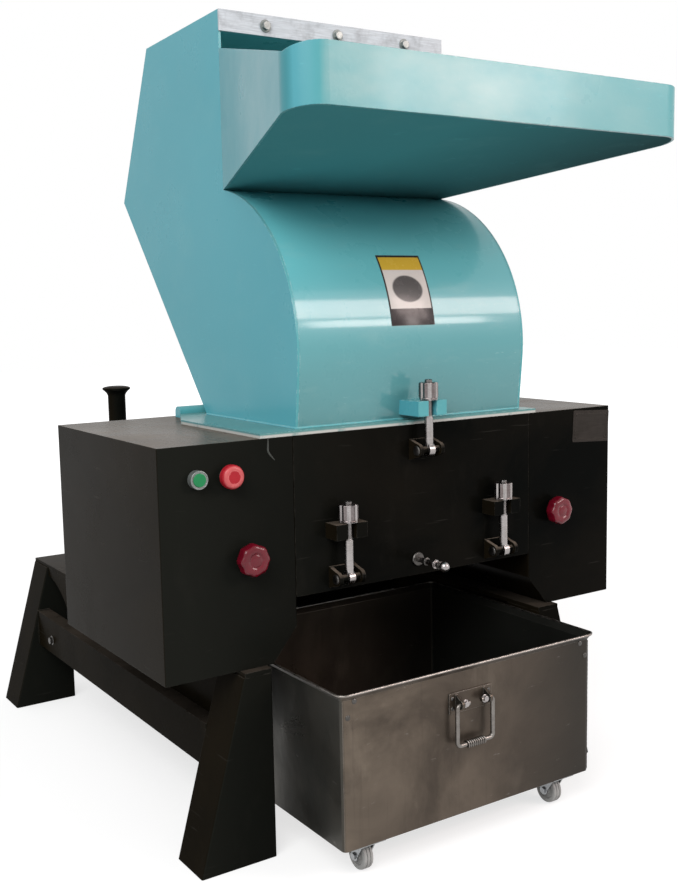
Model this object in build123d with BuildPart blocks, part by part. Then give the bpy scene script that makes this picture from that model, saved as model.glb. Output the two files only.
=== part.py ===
from build123d import *
from math import atan2, cos, degrees, radians, sin, sqrt, tan
import os

# A plastic crusher: a black steel body on four splayed legs, a turquoise hopper with a
# flared feed tray, clamp bolts, controls, and a wheeled bin half drawn out under the chamber.
# +X is the right side seen from the front, -Y the front, +Z up. Millimetres throughout.

# Overall places
body_width = 1004
body_depth = 450
body_top = 720
body_bottom = 334
tray_reach = 250           # tray lip ahead of the body's front face
frame_rear = 1048          # rear legs' back faces behind the body's front face
front_y = (tray_reach - frame_rear) / 2
chamber_x = 16             # centre line of the cutting chamber and its clamps
hopper_x = 21              # centre line of the hopper and the tray
frame_x = -12              # centre line of the legs and the deck
bin_x = -6                 # centre line of the bin
edge_round = 3
running_fit = 0.05         # radial clearance of a pin in its hole
seat_gap = 0.3             # clearance of a moving face from its seat

# Base frame
leg_top_half = 355
leg_foot_half = 447
leg_inner_half = 304
leg_depth = 92
leg_lead = 17              # the front legs stand this far ahead of the body's front face
rail_width = 40
low_rail_width = 30
top_rail_height = 110
top_rail_cope = 150        # length of the rounded cut at the rear end of a top rail
top_rail_tail = 18         # depth left of a top rail where it meets the rear leg
low_rail_outer = 385
low_rail_height = 81
low_rail_base = 145
deck_thickness = 8
deck_lead = 28             # the deck starts this far behind the body
cross_rail_depth = 40

# Body
left_housing_width = 248
chamber_width = 534
chamber_base = 442
front_plate = 12
rear_panel = 10
outlet_cut_width = 49      # housings' inner lower corners cut away beside the outlet
outlet_cut_height = 60

# Hopper, side profile measured from the body's front face
hopper_width = 510
sheet = 5
flange_thickness = 8
flange_left_margin = 83    # flange beyond the hopper's left side
flange_right_margin = 22
flange_depth = 404
flange_edge_depth = 300    # the flange's outer edges end here and its rear corners slant in
mouth_y = 260              # the open mouth stands upright, from the throat to the roof
mouth_top = 1468
roof_rear_y = 574
roof_fall = 10
back_peak_y = 722
back_peak_drop = 306
back_foot_y = 357
bulge_y = 310
bulge_z = 855
bulge_radius = 298
bulge_lean = 6             # degrees that the front sheet leans back below the bulge
strip_height = 38
strip_thickness = 4

# Feed tray
tray_lip_half = 416
tray_corner = 48
tray_lip_base = 1217
tray_lip_top = 1305
tray_dip = 12              # side walls' top below the lip's top where they meet the round corners
tray_wall_drop = 68        # side walls' top below the mouth's top where they leave the hopper
tray_sheet = 4

# Swing bolts
pivot_stand = 24           # bolt axis ahead of the body's front face
swing_spread = 177
lower_pivot_z = 467
upper_pivot_z = 675
lower_seat_z = 564
upper_seat_z = 764
lug_width = 64
lug_height = 27
lug_lip = 12               # lug ahead of the bolt axis
lug_slot = 18
eye_radius = 12
eye_width = 12
pin_radius = 6
shank_radius = 8
thread_radius = 6.5
thread_length = 30
nut_flats = 30
nut_height = 31
nut_gap = 0.9
stud_end = 5
ear_thickness = 7
ear_gap = 40
ear_height = 38
ear_base = 5

# Pull rod under the front plate
rod_x = 6
rod_z = 471
rod_radius = 5
rod_reach = 78
rod_ball = 9.5
rod_collar = 8

# Controls
start_x = -436
stop_x = -379
control_z = 665
bezel_radius = 15
start_bezel_height = 13
stop_bezel_height = 5
button_radius = 11
button_stand = 2           # start button's cap ahead of its bezel
button_travel = 4
stop_radius = 20
stop_stem = 10
stop_head_height = 14
stop_travel = 5
knob_centre = -2
knob_spread = 345
knob_z = 524
knob_radius = 28
knob_lobe = 7
knob_lobes = 8
knob_thickness = 22
knob_hub_radius = 13
knob_hub = 10
knob_stud = 5
knob_stud_length = 24

# Hopper hinge and rest posts
hinge_left_margin = 35     # hinge barrel beyond the hopper's left side
hinge_right_margin = 14
hinge_size = 22
post_spread = 240
post_y = 850
post_top = 757
post_radius = 20
cap_radius = 32
cap_thickness = 19

# Bin
bin_width = 550
bin_depth = 470
bin_front = 175            # bin's front face ahead of the body's front face
bin_base = 60
bin_top = 326
bin_wall = 3
bin_rim = 9
bin_rim_height = 12
bin_corner = 8
handle_x = -18              # centre line of the bin's handle
handle_width = 62
handle_z = 262
handle_drop = 72
handle_rod = 4
handle_grip = 7.5
handle_ear = 16
handle_stand = 14
handle_plate = 2

# Casters
wheel_radius = 25
wheel_width = 20
wheel_bore = 4
caster_inset_x = 60
caster_inset_y = 28
caster_trail = 14
caster_plate = 3
caster_plate_size = 50
fork_sheet = 2.5
fork_gap = 1.5
kingpin = 5

os.makedirs("parts", exist_ok=True)


def facing_front(depth):
    """Sketch plane at a depth behind the body's front face, its normal towards the front."""
    return Plane.XZ.offset(-(front_y + depth))


def across(x):
    """Sketch plane square to X: its own x runs back along Y, its own y runs up."""
    return Plane.YZ.offset(x)


def spot(x, depth, z):
    """A point given by its depth behind the body's front face."""
    return (x, front_y + depth, z)


def block(x0, x1, depth0, depth1, z0, z1, turned=0):
    """A box between two depths, its upright edges rounded by the radius given."""
    with BuildPart() as piece:
        with BuildSketch(Plane.XY.offset(z0)):
            with Locations(((x0 + x1) / 2, front_y + (depth0 + depth1) / 2)):
                Rectangle(x1 - x0, depth1 - depth0)
        extrude(amount=z1 - z0)
        if turned:
            fillet(piece.edges().filter_by(Axis.Z), turned)
    return piece


# Legs: plates folded to a closed section, upright inside and splayed outside
leg_height = body_bottom - deck_thickness
leg_splay = (leg_foot_half - leg_top_half) / body_bottom
leg_top_outer = leg_top_half + leg_splay * deck_thickness
front_leg_depth = -leg_lead
rear_leg_depth = frame_rear - leg_depth
for side_name, side in (("left", -1), ("right", 1)):
    for end_name, depth in (("front", front_leg_depth), ("rear", rear_leg_depth)):
        with BuildPart() as leg:
            with BuildSketch(facing_front(depth)):
                with BuildLine():
                    Polyline(
                        (frame_x + side * leg_foot_half, 0),
                        (frame_x + side * leg_inner_half, 0),
                        (frame_x + side * leg_inner_half, leg_height),
                        (frame_x + side * leg_top_outer, leg_height),
                        close=True,
                    )
                make_face()
            extrude(amount=-leg_depth)
            fillet(leg.edges().filter_by(Axis.Y, reverse=True).group_by(Axis.Z)[1:-1], edge_round)
        leg.part.label = f"{side_name}_{end_name}_leg"
        export_step(leg.part, f"parts/{side_name}_{end_name}_leg.step")

# Top side rails, their rear ends cut away in a curve where they meet the rear legs
rail_start = front_leg_depth + leg_depth
rail_end = rear_leg_depth
rail_top = body_bottom - deck_thickness
rail_base = rail_top - top_rail_height
with BuildPart() as top_side_rails:
    for side in (-1, 1):
        outer = frame_x + side * leg_top_half
        with BuildSketch(across(min(outer, outer - side * rail_width))):
            with BuildLine():
                Polyline(
                    (front_y + rail_end, rail_top - top_rail_tail),
                    (front_y + rail_end, rail_top),
                    (front_y + rail_start, rail_top),
                    (front_y + rail_start, rail_base),
                    (front_y + rail_end - top_rail_cope, rail_base),
                )
                RadiusArc(
                    (front_y + rail_end - top_rail_cope, rail_base),
                    (front_y + rail_end, rail_top - top_rail_tail),
                    1.3 * top_rail_cope,
                )
            make_face()
        extrude(amount=rail_width)
top_side_rails.part.label = "top_side_rails"
export_step(top_side_rails.part, "parts/top_side_rails.step")

# Low side rails between the legs
with BuildPart() as low_side_rails:
    for side in (-1, 1):
        with BuildSketch(Plane.XY.offset(low_rail_base)):
            low_rail_x = frame_x + side * (low_rail_outer - low_rail_width / 2)
            with Locations((low_rail_x, front_y + (rail_start + rail_end) / 2)):
                Rectangle(low_rail_width, rail_end - rail_start)
        extrude(amount=low_rail_height)
low_side_rails.part.label = "low_side_rails"
export_step(low_side_rails.part, "parts/low_side_rails.step")

# Cross rails behind the bin bay and between the rear legs
cross_rail_start = body_depth + deck_lead
with BuildPart() as cross_rails:
    with BuildSketch(Plane.XY.offset(rail_base)):
        with Locations((frame_x, front_y + cross_rail_start + cross_rail_depth / 2)):
            Rectangle(2 * (leg_top_half - rail_width), cross_rail_depth)
        with Locations((frame_x, front_y + frame_rear - cross_rail_depth / 2)):
            Rectangle(2 * leg_inner_half, cross_rail_depth)
    extrude(amount=top_rail_height)
cross_rails.part.label = "cross_rails"
export_step(cross_rails.part, "parts/cross_rails.step")

# Deck behind the body, and the two bearers that carry the body along the rails
with BuildPart() as deck:
    with BuildSketch(Plane.XY.offset(rail_top)):
        with Locations((frame_x, front_y + (cross_rail_start + frame_rear) / 2)):
            Rectangle(2 * leg_top_half, frame_rear - cross_rail_start)
        for side in (-1, 1):
            bearer = (front_leg_depth + cross_rail_start) / 2
            with Locations((frame_x + side * (leg_inner_half + leg_top_half) / 2, front_y + bearer)):
                Rectangle(leg_top_half - leg_inner_half, cross_rail_start - front_leg_depth)
    extrude(amount=deck_thickness)
deck.part.label = "deck"
export_step(deck.part, "parts/deck.step")

# Housings each side of the chamber; the left one has blind holes behind its controls
left_edge = -body_width / 2
right_edge = body_width / 2
chamber_left = left_edge + left_housing_width
chamber_right = chamber_left + chamber_width
knob_xs = (knob_centre - knob_spread, knob_centre + knob_spread)
hole_slack = 6


def outlet_cut(inner_x, side):
    """Triangle cut from a housing's inner lower corner; side is the way to the machine's side."""
    with BuildSketch(facing_front(0)) as cut:
        with BuildLine():
            Polyline(
                (inner_x + side * outlet_cut_width, body_bottom),
                (inner_x, body_bottom),
                (inner_x, body_bottom + outlet_cut_height),
                close=True,
            )
        make_face()
    return cut.sketch


with BuildPart() as left_housing:
    add(block(left_edge, chamber_left, 0, body_depth, body_bottom, body_top, edge_round).part)
    with BuildSketch(facing_front(0)):
        with Locations((start_x, control_z)):
            Circle(button_radius + running_fit)
        with Locations((stop_x, control_z)):
            Circle(stop_stem + running_fit)
    extrude(amount=-(button_travel + hole_slack), mode=Mode.SUBTRACT)
    with BuildSketch(facing_front(0)):
        with Locations((knob_xs[0], knob_z)):
            Circle(knob_stud + running_fit)
    extrude(amount=-knob_stud_length, mode=Mode.SUBTRACT)
    extrude(outlet_cut(chamber_left, -1), amount=-(body_depth - rear_panel), mode=Mode.SUBTRACT)
left_housing.part.label = "left_housing"
export_step(left_housing.part, "parts/left_housing.step")

with BuildPart() as right_housing:
    add(block(chamber_right, right_edge, 0, body_depth, body_bottom, body_top, edge_round).part)
    with BuildSketch(facing_front(0)):
        with Locations((knob_xs[1], knob_z)):
            Circle(knob_stud + running_fit)
    extrude(amount=-knob_stud_length, mode=Mode.SUBTRACT)
    extrude(outlet_cut(chamber_right, 1), amount=-(body_depth - rear_panel), mode=Mode.SUBTRACT)
right_housing.part.label = "right_housing"
export_step(right_housing.part, "parts/right_housing.step")

# Cutting chamber: closed block, its front plate and the panel behind the bin bay
chamber = block(chamber_left, chamber_right, front_plate, body_depth - rear_panel, chamber_base, body_top)
chamber.part.label = "cutting_chamber"
export_step(chamber.part, "parts/cutting_chamber.step")

front_cover = block(chamber_left, chamber_right, 0, front_plate, chamber_base, body_top)
front_cover.part.label = "front_plate"
export_step(front_cover.part, "parts/front_plate.step")

rear_cover = block(chamber_left, chamber_right, body_depth - rear_panel, body_depth, body_bottom, body_top)
rear_cover.part.label = "rear_panel"
export_step(rear_cover.part, "parts/rear_panel.step")

# Hopper: two side plates and the sheets folded between them
hopper_left = hopper_x - hopper_width / 2
hopper_right = hopper_x + hopper_width / 2
flange_left = hopper_left - flange_left_margin
flange_right = hopper_right + flange_right_margin
hinge_left = hopper_left - hinge_left_margin
hinge_right = hopper_right + hinge_right_margin
flange_top = body_top + flange_thickness
roof_rear_z = mouth_top - roof_fall
back_peak_z = mouth_top - back_peak_drop
tray_wall_top = mouth_top - tray_wall_drop
throat_z = bulge_z + sqrt(bulge_radius**2 - (bulge_y - mouth_y) ** 2)
lean = radians(bulge_lean)
lean_y = bulge_y - bulge_radius * cos(lean)
lean_z = bulge_z - bulge_radius * sin(lean)
front_foot_y = lean_y + (lean_z - flange_top) * tan(lean)


def hopper_profile(skirt=0):
    """Closed side outline of the hopper, for a plane square to X, run on below by the skirt."""
    throat_angle = degrees(atan2(throat_z - bulge_z, mouth_y - bulge_y))
    back_slope = (back_peak_y - back_foot_y) / (back_peak_z - flange_top)
    foot_y = front_y + front_foot_y + skirt * tan(lean)
    with BuildSketch() as outline:
        with BuildLine():
            Polyline(
                (foot_y, flange_top - skirt),
                (front_y + back_foot_y - skirt * back_slope, flange_top - skirt),
                (front_y + back_peak_y, back_peak_z),
                (front_y + roof_rear_y, roof_rear_z),
                (front_y + mouth_y, mouth_top),
                (front_y + mouth_y, throat_z),
            )
            CenterArc((front_y + bulge_y, bulge_z), bulge_radius, throat_angle, 180 + bulge_lean - throat_angle)
            Line((front_y + lean_y, lean_z), (foot_y, flange_top - skirt))
        make_face()
    return outline.sketch


for name, x in (("hopper_left_side", hopper_left), ("hopper_right_side", hopper_right - sheet)):
    with BuildPart() as side_plate:
        with BuildSketch(across(x)):
            add(hopper_profile())
        extrude(amount=sheet)
    side_plate.part.label = name
    export_step(side_plate.part, f"parts/{name}.step")

hopper_inner = hopper_width - 2 * sheet
reach = 2000
skirt = 4 * sheet
with BuildPart() as hopper_front:
    with BuildSketch(across(hopper_left + sheet)):
        add(hopper_profile(skirt))
        offset(amount=-sheet, mode=Mode.SUBTRACT)
        with Locations((front_y + mouth_y - reach / 2, (flange_top + throat_z) / 2)):
            Rectangle(reach, throat_z - flange_top, mode=Mode.INTERSECT)
    extrude(amount=hopper_inner)
hopper_front.part.label = "hopper_front"
export_step(hopper_front.part, "parts/hopper_front.step")

strip_base = mouth_top - strip_height
with BuildPart() as hopper_back:
    with BuildSketch(across(hopper_left + sheet)):
        add(hopper_profile(skirt))
        offset(amount=-sheet, mode=Mode.SUBTRACT)
        with BuildLine():
            Polyline(
                (front_y + mouth_y + 2 * sheet, mouth_top),
                (front_y + mouth_y + 2 * sheet, throat_z + 10 * sheet),
                (front_y + back_foot_y - 10 * sheet, flange_top),
                (front_y + reach, flange_top),
                (front_y + reach, mouth_top),
                close=True,
            )
        make_face(mode=Mode.INTERSECT)
        with BuildLine():
            Polyline(
                (front_y + mouth_y, strip_base),
                (front_y + mouth_y + sheet, strip_base),
                (front_y + mouth_y + sheet, mouth_top - 2 * sheet),
                (front_y + mouth_y + 3 * sheet, mouth_top - 2 * sheet),
                (front_y + mouth_y + 3 * sheet, mouth_top - 0.4 * sheet),
                (front_y + mouth_y, mouth_top),
                close=True,
            )
        make_face()
    extrude(amount=hopper_inner)
hopper_back.part.label = "hopper_back"
export_step(hopper_back.part, "parts/hopper_back.step")

# Flange under the hopper, open over the chamber
with BuildPart() as hopper_flange:
    with BuildSketch(Plane.XY.offset(body_top)):
        with BuildLine():
            Polyline(
                (flange_left, front_y),
                (flange_right, front_y),
                (flange_right, front_y + flange_edge_depth),
                (hinge_right, front_y + flange_depth),
                (hinge_left, front_y + flange_depth),
                (flange_left, front_y + flange_edge_depth),
                close=True,
            )
        make_face()
        well_front = front_foot_y + sheet
        well_back = back_foot_y - sheet
        with Locations((hopper_x, front_y + (well_front + well_back) / 2)):
            Rectangle(hopper_inner, well_back - well_front, mode=Mode.SUBTRACT)
    extrude(amount=flange_thickness)
hopper_flange.part.label = "hopper_flange"
export_step(hopper_flange.part, "parts/hopper_flange.step")

# Bright steel strip along the mouth's top edge
mouth_strip = block(hopper_left, hopper_right, mouth_y - strip_thickness, mouth_y, strip_base, mouth_top)
mouth_strip.part.label = "mouth_strip"
export_step(mouth_strip.part, "parts/mouth_strip.step")

# Feed tray: one upright band folded round the lip, and the sloping floor inside it
tray_flare = atan2(tray_lip_half - hopper_width / 2, mouth_y + tray_reach)


def tray_plan(inset, overrun):
    """Plan outline of the tray, inset by a sheet thickness and run on behind the mouth."""
    rear = mouth_y + overrun
    rear_half = hopper_width / 2 - overrun * tan(tray_flare) - inset / cos(tray_flare)
    lip = -tray_reach + inset
    lip_half = hopper_width / 2 + (mouth_y - lip) * tan(tray_flare) - inset / cos(tray_flare)
    with BuildSketch() as outline:
        with BuildLine():
            FilletPolyline(
                (hopper_x - rear_half, front_y + rear),
                (hopper_x - lip_half, front_y + lip),
                (hopper_x + lip_half, front_y + lip),
                (hopper_x + rear_half, front_y + rear),
                radius=tray_corner - inset,
            )
            Line((hopper_x + rear_half, front_y + rear), (hopper_x - rear_half, front_y + rear))
        make_face()
    return outline.sketch


tray_rise = (tray_lip_base - throat_z) / (mouth_y + tray_reach)
tray_over = 10


def tray_side(top):
    """Side outline from the tray's sloping underside to the top points, carried past the lip."""
    with BuildSketch() as outline:
        with BuildLine():
            Polyline(
                (front_y + mouth_y, throat_z),
                (front_y - tray_reach - tray_over, tray_lip_base + tray_over * tray_rise),
                *((front_y + depth, z) for depth, z in top),
                close=True,
            )
        make_face()
    return outline.sketch


tray_span = 2 * tray_lip_half + 20
tray_under = throat_z - 100
with BuildPart() as tray_band:
    with BuildSketch(Plane.XY.offset(tray_under)):
        add(tray_plan(0, 0))
    extrude(amount=reach / 4)
    with BuildSketch(across(hopper_x - tray_span / 2)):
        add(
            tray_side(
                (
                    (-tray_reach - tray_over, tray_lip_top),
                    (-tray_reach, tray_lip_top),
                    (-tray_reach + tray_corner, tray_lip_top - tray_dip),
                    (mouth_y, tray_wall_top),
                )
            )
        )
    extrude(amount=tray_span, mode=Mode.INTERSECT)
    with BuildSketch(Plane.XY.offset(tray_under)):
        add(tray_plan(tray_sheet, 10))
    extrude(amount=reach / 4, mode=Mode.SUBTRACT)
tray_band.part.label = "tray_band"
export_step(tray_band.part, "parts/tray_band.step")

with BuildPart() as tray_floor:
    with BuildSketch(Plane.XY.offset(tray_under)):
        add(tray_plan(tray_sheet, 0))
    extrude(amount=reach / 4)
    with BuildSketch(across(hopper_x - tray_span / 2)):
        lip_floor = tray_lip_base + tray_over * tray_rise + tray_sheet
        add(tray_side(((-tray_reach - tray_over, lip_floor), (mouth_y, throat_z + tray_sheet))))
    extrude(amount=tray_span, mode=Mode.INTERSECT)
tray_floor.part.label = "tray_floor"
export_step(tray_floor.part, "parts/tray_floor.step")

# Clamp lugs: blocks with a slot open to the front, one welded to the hopper, two to the cover
upper_x = chamber_x
lower_xs = (chamber_x - swing_spread, chamber_x + swing_spread)


def lug(x, back_depth, seat_z):
    """One slotted lug, from its back depth to ahead of the bolt axis."""
    with BuildPart() as piece:
        with BuildSketch(Plane.XY.offset(seat_z - lug_height)):
            front = -pivot_stand - lug_lip
            with Locations((x, front_y + (front + back_depth) / 2)):
                Rectangle(lug_width, back_depth - front)
            with Locations((x, front_y - pivot_stand)):
                Circle(lug_slot / 2, mode=Mode.SUBTRACT)
            with Locations((x, front_y - pivot_stand - lug_lip)):
                Rectangle(lug_slot, 2 * lug_lip, mode=Mode.SUBTRACT)
        extrude(amount=lug_height)
    return piece


with BuildPart() as hopper_lug:
    add(lug(upper_x, front_foot_y, upper_seat_z).part)
    with BuildSketch(across(upper_x - lug_width)):
        add(hopper_profile())
    extrude(amount=2 * lug_width, mode=Mode.SUBTRACT)
hopper_lug.part.label = "hopper_lug"
export_step(hopper_lug.part, "parts/hopper_lug.step")

with BuildPart() as cover_lugs:
    for x in lower_xs:
        add(lug(x, 0, lower_seat_z).part)
cover_lugs.part.label = "cover_lugs"
export_step(cover_lugs.part, "parts/cover_lugs.step")

# Lower ears with their pins, one pair under each swing bolt
with BuildPart() as bolt_ears:
    for x, z in ((upper_x, upper_pivot_z), (lower_xs[0], lower_pivot_z), (lower_xs[1], lower_pivot_z)):
        ear_front = -pivot_stand - eye_radius
        half = ear_gap / 2 + ear_thickness
        with BuildSketch(facing_front(0)):
            with Locations((x, z)):
                Rectangle(2 * half, ear_height)
        extrude(amount=ear_base)
        for ear_x in (x - half, x + ear_gap / 2):
            with BuildSketch(across(ear_x)):
                with BuildLine():
                    Polyline(
                        (front_y - pivot_stand, z - eye_radius),
                        (front_y, z - ear_height / 2),
                        (front_y, z + ear_height / 2),
                        (front_y - pivot_stand, z + eye_radius),
                    )
                    ThreePointArc(
                        (front_y - pivot_stand, z + eye_radius),
                        (front_y + ear_front, z),
                        (front_y - pivot_stand, z - eye_radius),
                    )
                make_face()
            extrude(amount=ear_thickness)
        with BuildSketch(across(x - half)):
            with Locations((front_y - pivot_stand, z)):
                Circle(pin_radius)
        extrude(amount=2 * half)
bolt_ears.part.label = "bolt_ears"
export_step(bolt_ears.part, "parts/bolt_ears.step")


def swing_bolt(x, pivot_z, seat_z):
    """Eye, shank, thread and nut of one swing bolt, standing in its lug."""
    nut_base = seat_z + nut_gap
    thread_base = seat_z - thread_length
    with BuildPart() as bolt:
        with BuildSketch(across(x - eye_width / 2)):
            with Locations((front_y - pivot_stand, pivot_z)):
                Circle(eye_radius)
        extrude(amount=eye_width)
        for radius, top in ((shank_radius, thread_base), (thread_radius, nut_base + nut_height + stud_end)):
            with BuildSketch(Plane.XY.offset(pivot_z)):
                with Locations((x, front_y - pivot_stand)):
                    Circle(radius)
            extrude(amount=top - pivot_z)
        with BuildSketch(Plane.XY.offset(nut_base)):
            with Locations((x, front_y - pivot_stand)):
                RegularPolygon(nut_flats / 2, 6, major_radius=False)
        extrude(amount=nut_height)
        with BuildSketch(across(x - eye_width)):
            with Locations((front_y - pivot_stand, pivot_z)):
                Circle(pin_radius + running_fit)
        extrude(amount=2 * eye_width, mode=Mode.SUBTRACT)
    return bolt


for name, x, pivot_z, seat_z in (
    ("top_swing_bolt", upper_x, upper_pivot_z, upper_seat_z),
    ("left_swing_bolt", lower_xs[0], lower_pivot_z, lower_seat_z),
    ("right_swing_bolt", lower_xs[1], lower_pivot_z, lower_seat_z),
):
    bolt = swing_bolt(x, pivot_z, seat_z)
    bolt.part.label = name
    export_step(bolt.part, f"parts/{name}.step")

# Rod with a ball end under the front plate
with BuildPart() as pull_rod:
    with BuildSketch(facing_front(0)):
        with Locations((rod_x, rod_z)):
            Circle(rod_radius)
    extrude(amount=rod_reach)
    with BuildSketch(facing_front(-rod_reach + 3 * rod_ball)):
        with Locations((rod_x, rod_z)):
            Circle(rod_collar)
    extrude(amount=rod_ball / 2)
    with Locations(spot(rod_x, -rod_reach, rod_z)):
        Sphere(rod_ball)
pull_rod.part.label = "pull_rod"
export_step(pull_rod.part, "parts/pull_rod.step")

# Controls: two bezels, the start button and the stop button's mushroom head
with BuildPart() as control_bezels:
    for x, bore, height in (
        (start_x, button_radius, start_bezel_height),
        (stop_x, stop_stem, stop_bezel_height),
    ):
        with BuildSketch(facing_front(0)):
            with Locations((x, control_z)):
                Circle(bezel_radius)
                Circle(bore + running_fit, mode=Mode.SUBTRACT)
        extrude(amount=height)
control_bezels.part.label = "control_bezels"
export_step(control_bezels.part, "parts/control_bezels.step")

with BuildPart() as start_button:
    with BuildSketch(facing_front(hole_slack / 2)):
        with Locations((start_x, control_z)):
            Circle(button_radius)
    extrude(amount=hole_slack / 2 + start_bezel_height + button_stand)
    fillet(start_button.faces().sort_by(Axis.Y)[0].edges(), 1)
start_button.part.label = "start_button"
export_step(start_button.part, "parts/start_button.step")

stop_underside = stop_bezel_height + stop_travel + seat_gap
with BuildPart() as stop_button:
    with BuildSketch(facing_front(hole_slack / 2)):
        with Locations((stop_x, control_z)):
            Circle(stop_stem)
    extrude(amount=stop_underside + hole_slack / 2)
    with BuildSketch(facing_front(-stop_underside)):
        with Locations((stop_x, control_z)):
            Circle(stop_radius)
    extrude(amount=stop_head_height)
    fillet(stop_button.faces().sort_by(Axis.Y)[0].edges(), stop_head_height / 2)
stop_button.part.label = "stop_button"
export_step(stop_button.part, "parts/stop_button.step")

# Lobed hand knobs, one on each housing
for name, x in (("left_knob", knob_xs[0]), ("right_knob", knob_xs[1])):
    with BuildPart() as knob:
        with BuildSketch(facing_front(-seat_gap)):
            with Locations((x, knob_z)):
                Circle(knob_hub_radius)
        extrude(amount=knob_hub)
        with BuildSketch(facing_front(-seat_gap - knob_hub)):
            with Locations((x, knob_z)):
                Circle(knob_radius - knob_lobe)
                with PolarLocations(knob_radius - knob_lobe, knob_lobes):
                    Circle(knob_lobe)
        extrude(amount=knob_thickness)
        fillet(knob.faces().sort_by(Axis.Y)[0].edges(), 2)
        with BuildSketch(facing_front(-seat_gap)):
            with Locations((x, knob_z)):
                Circle(knob_stud)
        extrude(amount=-(knob_stud_length - 2))
    knob.part.label = name
    export_step(knob.part, f"parts/{name}.step")

# Hinge barrel behind the flange, resting on the body
with BuildPart() as hopper_hinge:
    with BuildSketch(across(hinge_left)):
        with Locations((front_y + flange_depth + hinge_size / 2, body_top + hinge_size / 4)):
            Rectangle(hinge_size, hinge_size / 2)
        with Locations((front_y + flange_depth + hinge_size / 2, body_top + hinge_size / 2)):
            Circle(hinge_size / 2)
    extrude(amount=hinge_right - hinge_left)
hopper_hinge.part.label = "hopper_hinge"
export_step(hopper_hinge.part, "parts/hopper_hinge.step")

# Rest posts on the deck, with mushroom caps
with BuildPart() as rest_posts:
    for x in (hopper_x - post_spread, hopper_x + post_spread):
        with BuildSketch(Plane.XY.offset(body_bottom)):
            with Locations((x, front_y + post_y)):
                Circle(post_radius)
        extrude(amount=post_top - body_bottom)
        with BuildSketch(Plane.XY.offset(post_top - cap_thickness)):
            with Locations((x, front_y + post_y)):
                Circle(cap_radius)
        extrude(amount=cap_thickness)
    fillet(rest_posts.faces().sort_by(Axis.Z)[-2:].edges(), cap_thickness / 2.2)
rest_posts.part.label = "rest_posts"
export_step(rest_posts.part, "parts/rest_posts.step")

# Bin: an open steel box with a flared rim
rim_base = bin_top - bin_rim_height
bin_start = -bin_front
bin_mid = bin_start + bin_depth / 2
with BuildPart() as bin_shell:
    for inset, floor_z, mode in ((0, bin_base, Mode.ADD), (bin_wall, bin_base + bin_wall, Mode.SUBTRACT)):
        wide = bin_width - 2 * inset
        deep = bin_depth - 2 * inset
        corner = bin_corner - inset
        with BuildSketch(Plane.XY.offset(floor_z)):
            with Locations((bin_x, front_y + bin_mid)):
                RectangleRounded(wide, deep, corner)
        extrude(amount=rim_base - floor_z, mode=mode)
        with BuildSketch(Plane.XY.offset(rim_base)):
            with Locations((bin_x, front_y + bin_mid)):
                RectangleRounded(wide, deep, corner)
        with BuildSketch(Plane.XY.offset(bin_top)):
            with Locations((bin_x, front_y + bin_mid)):
                RectangleRounded(wide + 2 * bin_rim, deep + 2 * bin_rim, corner + bin_rim)
        loft(mode=mode)
bin_shell.part.label = "bin_shell"
export_step(bin_shell.part, "parts/bin_shell.step")

# Handle ears on the bin's front, and the bail that hangs from them
handle_xs = (handle_x - handle_width / 2, handle_x + handle_width / 2)
bail_depth = bin_start - handle_stand
ear_half = handle_ear / 2
with BuildPart() as handle_ears:
    for x in handle_xs:
        with BuildSketch(across(x - fork_sheet)):
            with BuildLine():
                Polyline(
                    (front_y + bail_depth, handle_z - ear_half),
                    (front_y + bin_start, handle_z - handle_ear),
                    (front_y + bin_start, handle_z + handle_ear),
                    (front_y + bail_depth, handle_z + ear_half),
                )
                ThreePointArc(
                    (front_y + bail_depth, handle_z + ear_half),
                    (front_y + bail_depth - ear_half, handle_z),
                    (front_y + bail_depth, handle_z - ear_half),
                )
            make_face()
            with Locations((front_y + bail_depth, handle_z)):
                Circle(handle_rod + running_fit, mode=Mode.SUBTRACT)
        extrude(amount=2 * fork_sheet)
    with BuildSketch(facing_front(bin_start)):
        with Locations((handle_x, handle_z)):
            Rectangle(handle_width + 2 * handle_ear, 2 * handle_ear + 4)
    extrude(amount=handle_plate)
handle_ears.part.label = "handle_ears"
export_step(handle_ears.part, "parts/handle_ears.step")

bail_over = 8
bail_z = handle_z - handle_drop
with BuildPart() as bin_handle:
    with BuildLine() as bail_path:
        FilletPolyline(
            spot(handle_xs[0] + 2 * bail_over, bail_depth, handle_z),
            spot(handle_xs[0] - bail_over, bail_depth, handle_z),
            spot(handle_xs[0] - bail_over, bail_depth, bail_z),
            spot(handle_xs[1] + bail_over, bail_depth, bail_z),
            spot(handle_xs[1] + bail_over, bail_depth, handle_z),
            spot(handle_xs[1] - 2 * bail_over, bail_depth, handle_z),
            radius=1.5 * handle_rod,
        )
    with BuildSketch(Plane(origin=bail_path.line @ 0, z_dir=bail_path.line % 0)):
        Circle(handle_rod)
    sweep()
    with BuildSketch(across(handle_xs[0])):
        with Locations((front_y + bail_depth, bail_z)):
            Circle(handle_grip)
    extrude(amount=handle_width)
bin_handle.part.label = "bin_handle"
export_step(bin_handle.part, "parts/bin_handle.step")

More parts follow.
